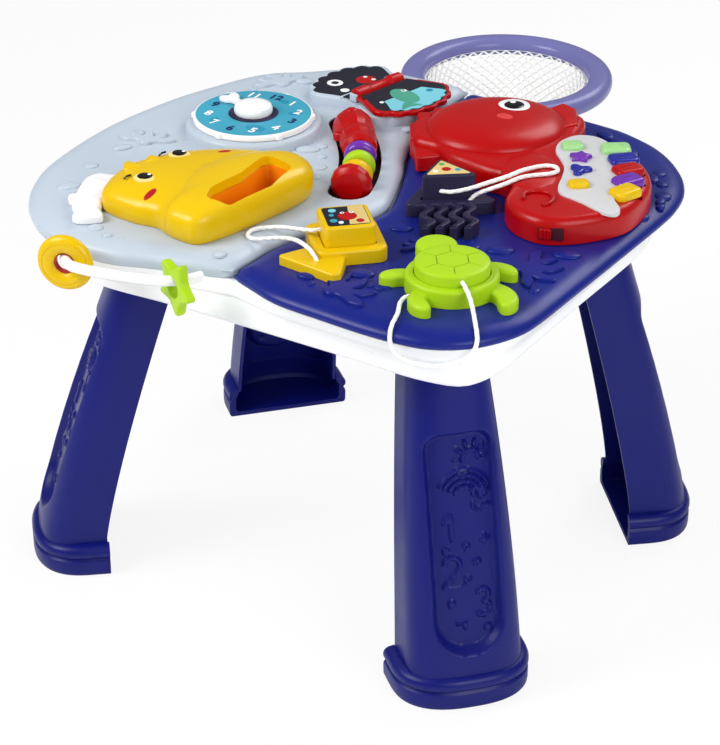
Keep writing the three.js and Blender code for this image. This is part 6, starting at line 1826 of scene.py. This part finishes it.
def braided_cord(name, line, node):
    """A braided cord: a tube whose surface rises and falls in slanting diamonds."""
    points = frame_line(line, 520)
    length = sum((b - a).length for a, b in zip(points, points[1:]))
    step_turn = length / (len(points) - 1) / (braid_pitch * mm) * 2 * math.pi

    def swell(k, i):
        around = i / braid_sides * 2 * math.pi * braid_strands
        climb = k * step_turn
        waves = [abs(math.sin((around + lean * climb) / 2)) for lean in (1, -1)]
        return 0.74 + 0.25 * max(waves) ** 2

    piece = tube(name, points, cord_radius, braid_sides, swell=swell)
    dress(piece, "cord", thread, node, angle=60)
    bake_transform(piece)


def make_cords():
    """The three cords, each from a frame to its block."""
    braided_cord("fish_cord_braid", fish_cord_line, "fish_cord")
    braided_cord("jelly_cord_braid", jelly_cord_line, "jelly_cord")
    braided_cord("turtle_cord_braid", turtle_cord_line, "turtle_cord")


# Inner parts that keep their solids
inner_finishes = {
    "music_base": red, "battery_door": red, "circuit_board": board_green, "speaker": speaker_black,
    "battery_1": cell_metal, "battery_2": cell_metal, "page_pin": steel,
    "cover_screw_1": steel, "cover_screw_2": steel, "cover_screw_3": steel, "cover_screw_4": steel,
}


def dress_hidden_nodes():
    """The inner nodes get their finishes."""
    for name, material in inner_finishes.items():
        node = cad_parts[name]
        node.data.materials.clear()
        node.data.materials.append(material)


# Room: a pale floor that keeps the shadow, and soft light
floor_size = 12
floor_glow_share = 0.86
room_light = 0.44
room_gloss = 0.16
lamps = [
    ("key", (-900, -1100, 1500), 900, 25),
    ("fill", (1500, -700, 1100), 1000, 15),
    ("back", (200, 1400, 1500), 900, 12),
]


def make_floor():
    """A floor that is close to white for the camera and still takes the shadow."""
    clear()
    bpy.ops.mesh.primitive_plane_add(size=floor_size, location=(0, 0, 0))
    floor = bpy.context.object
    floor.name = "floor"
    material = bpy.data.materials.new("floor_white")
    material.use_nodes = True
    nodes, links = material.node_tree.nodes, material.node_tree.links
    shader = nodes["Principled BSDF"]
    shader.inputs["Base Color"].default_value = (0.9, 0.9, 0.9, 1)
    shader.inputs["Roughness"].default_value = 0.9
    glow = nodes.new("ShaderNodeEmission")
    glow.inputs["Strength"].default_value = 1.0
    rays = nodes.new("ShaderNodeLightPath")
    share = nodes.new("ShaderNodeMath")
    share.operation = "MULTIPLY"
    share.inputs[1].default_value = floor_glow_share
    mix = nodes.new("ShaderNodeMixShader")
    links.new(rays.outputs["Is Camera Ray"], share.inputs[0])
    links.new(share.outputs["Value"], mix.inputs["Fac"])
    links.new(shader.outputs["BSDF"], mix.inputs[1])
    links.new(glow.outputs["Emission"], mix.inputs[2])
    links.new(mix.outputs["Shader"], nodes["Material Output"].inputs["Surface"])
    floor.data.materials.append(material)


def make_world():
    """Even light on the object, less of it in reflections, and plain white for the camera."""
    world = bpy.data.worlds.new("room")
    bpy.context.scene.world = world
    world.use_nodes = True
    nodes, links = world.node_tree.nodes, world.node_tree.links
    background = nodes["Background"]
    background.inputs["Color"].default_value = (1, 1, 1, 1)
    rays = nodes.new("ShaderNodeLightPath")
    soft = nodes.new("ShaderNodeMapRange")
    soft.inputs["To Min"].default_value = room_light
    soft.inputs["To Max"].default_value = room_gloss
    seen = nodes.new("ShaderNodeMath")
    seen.operation = "MAXIMUM"
    links.new(rays.outputs["Is Glossy Ray"], soft.inputs["Value"])
    links.new(rays.outputs["Is Camera Ray"], seen.inputs[0])
    links.new(soft.outputs["Result"], seen.inputs[1])
    links.new(seen.outputs["Value"], background.inputs["Strength"])


def make_room():
    """The floor, the even light all round and three soft lamps."""
    make_floor()
    make_world()
    for name, place, size, power in lamps:
        data = bpy.data.lights.new(name, "AREA")
        data.size = size * mm
        data.energy = power
        lamp = bpy.data.objects.new(name, data)
        bpy.context.scene.collection.objects.link(lamp)
        lamp.location = at(*place)
        aim = at(0, 0, 280) - lamp.location
        lamp.rotation_euler = aim.to_track_quat("-Z", "Y").to_euler()
    bpy.context.scene.view_settings.view_transform = "Standard"


place_camera()
make_cords()
make_room()
make_covers()
make_tray()
make_legs()
make_clock()
make_page()
make_shrimp()
make_rod()
make_hoop()
make_net()
make_music()
make_switch()
make_puffer()
make_fish()
make_jelly()
make_turtle()
make_reliefs()
dress_hidden_nodes()
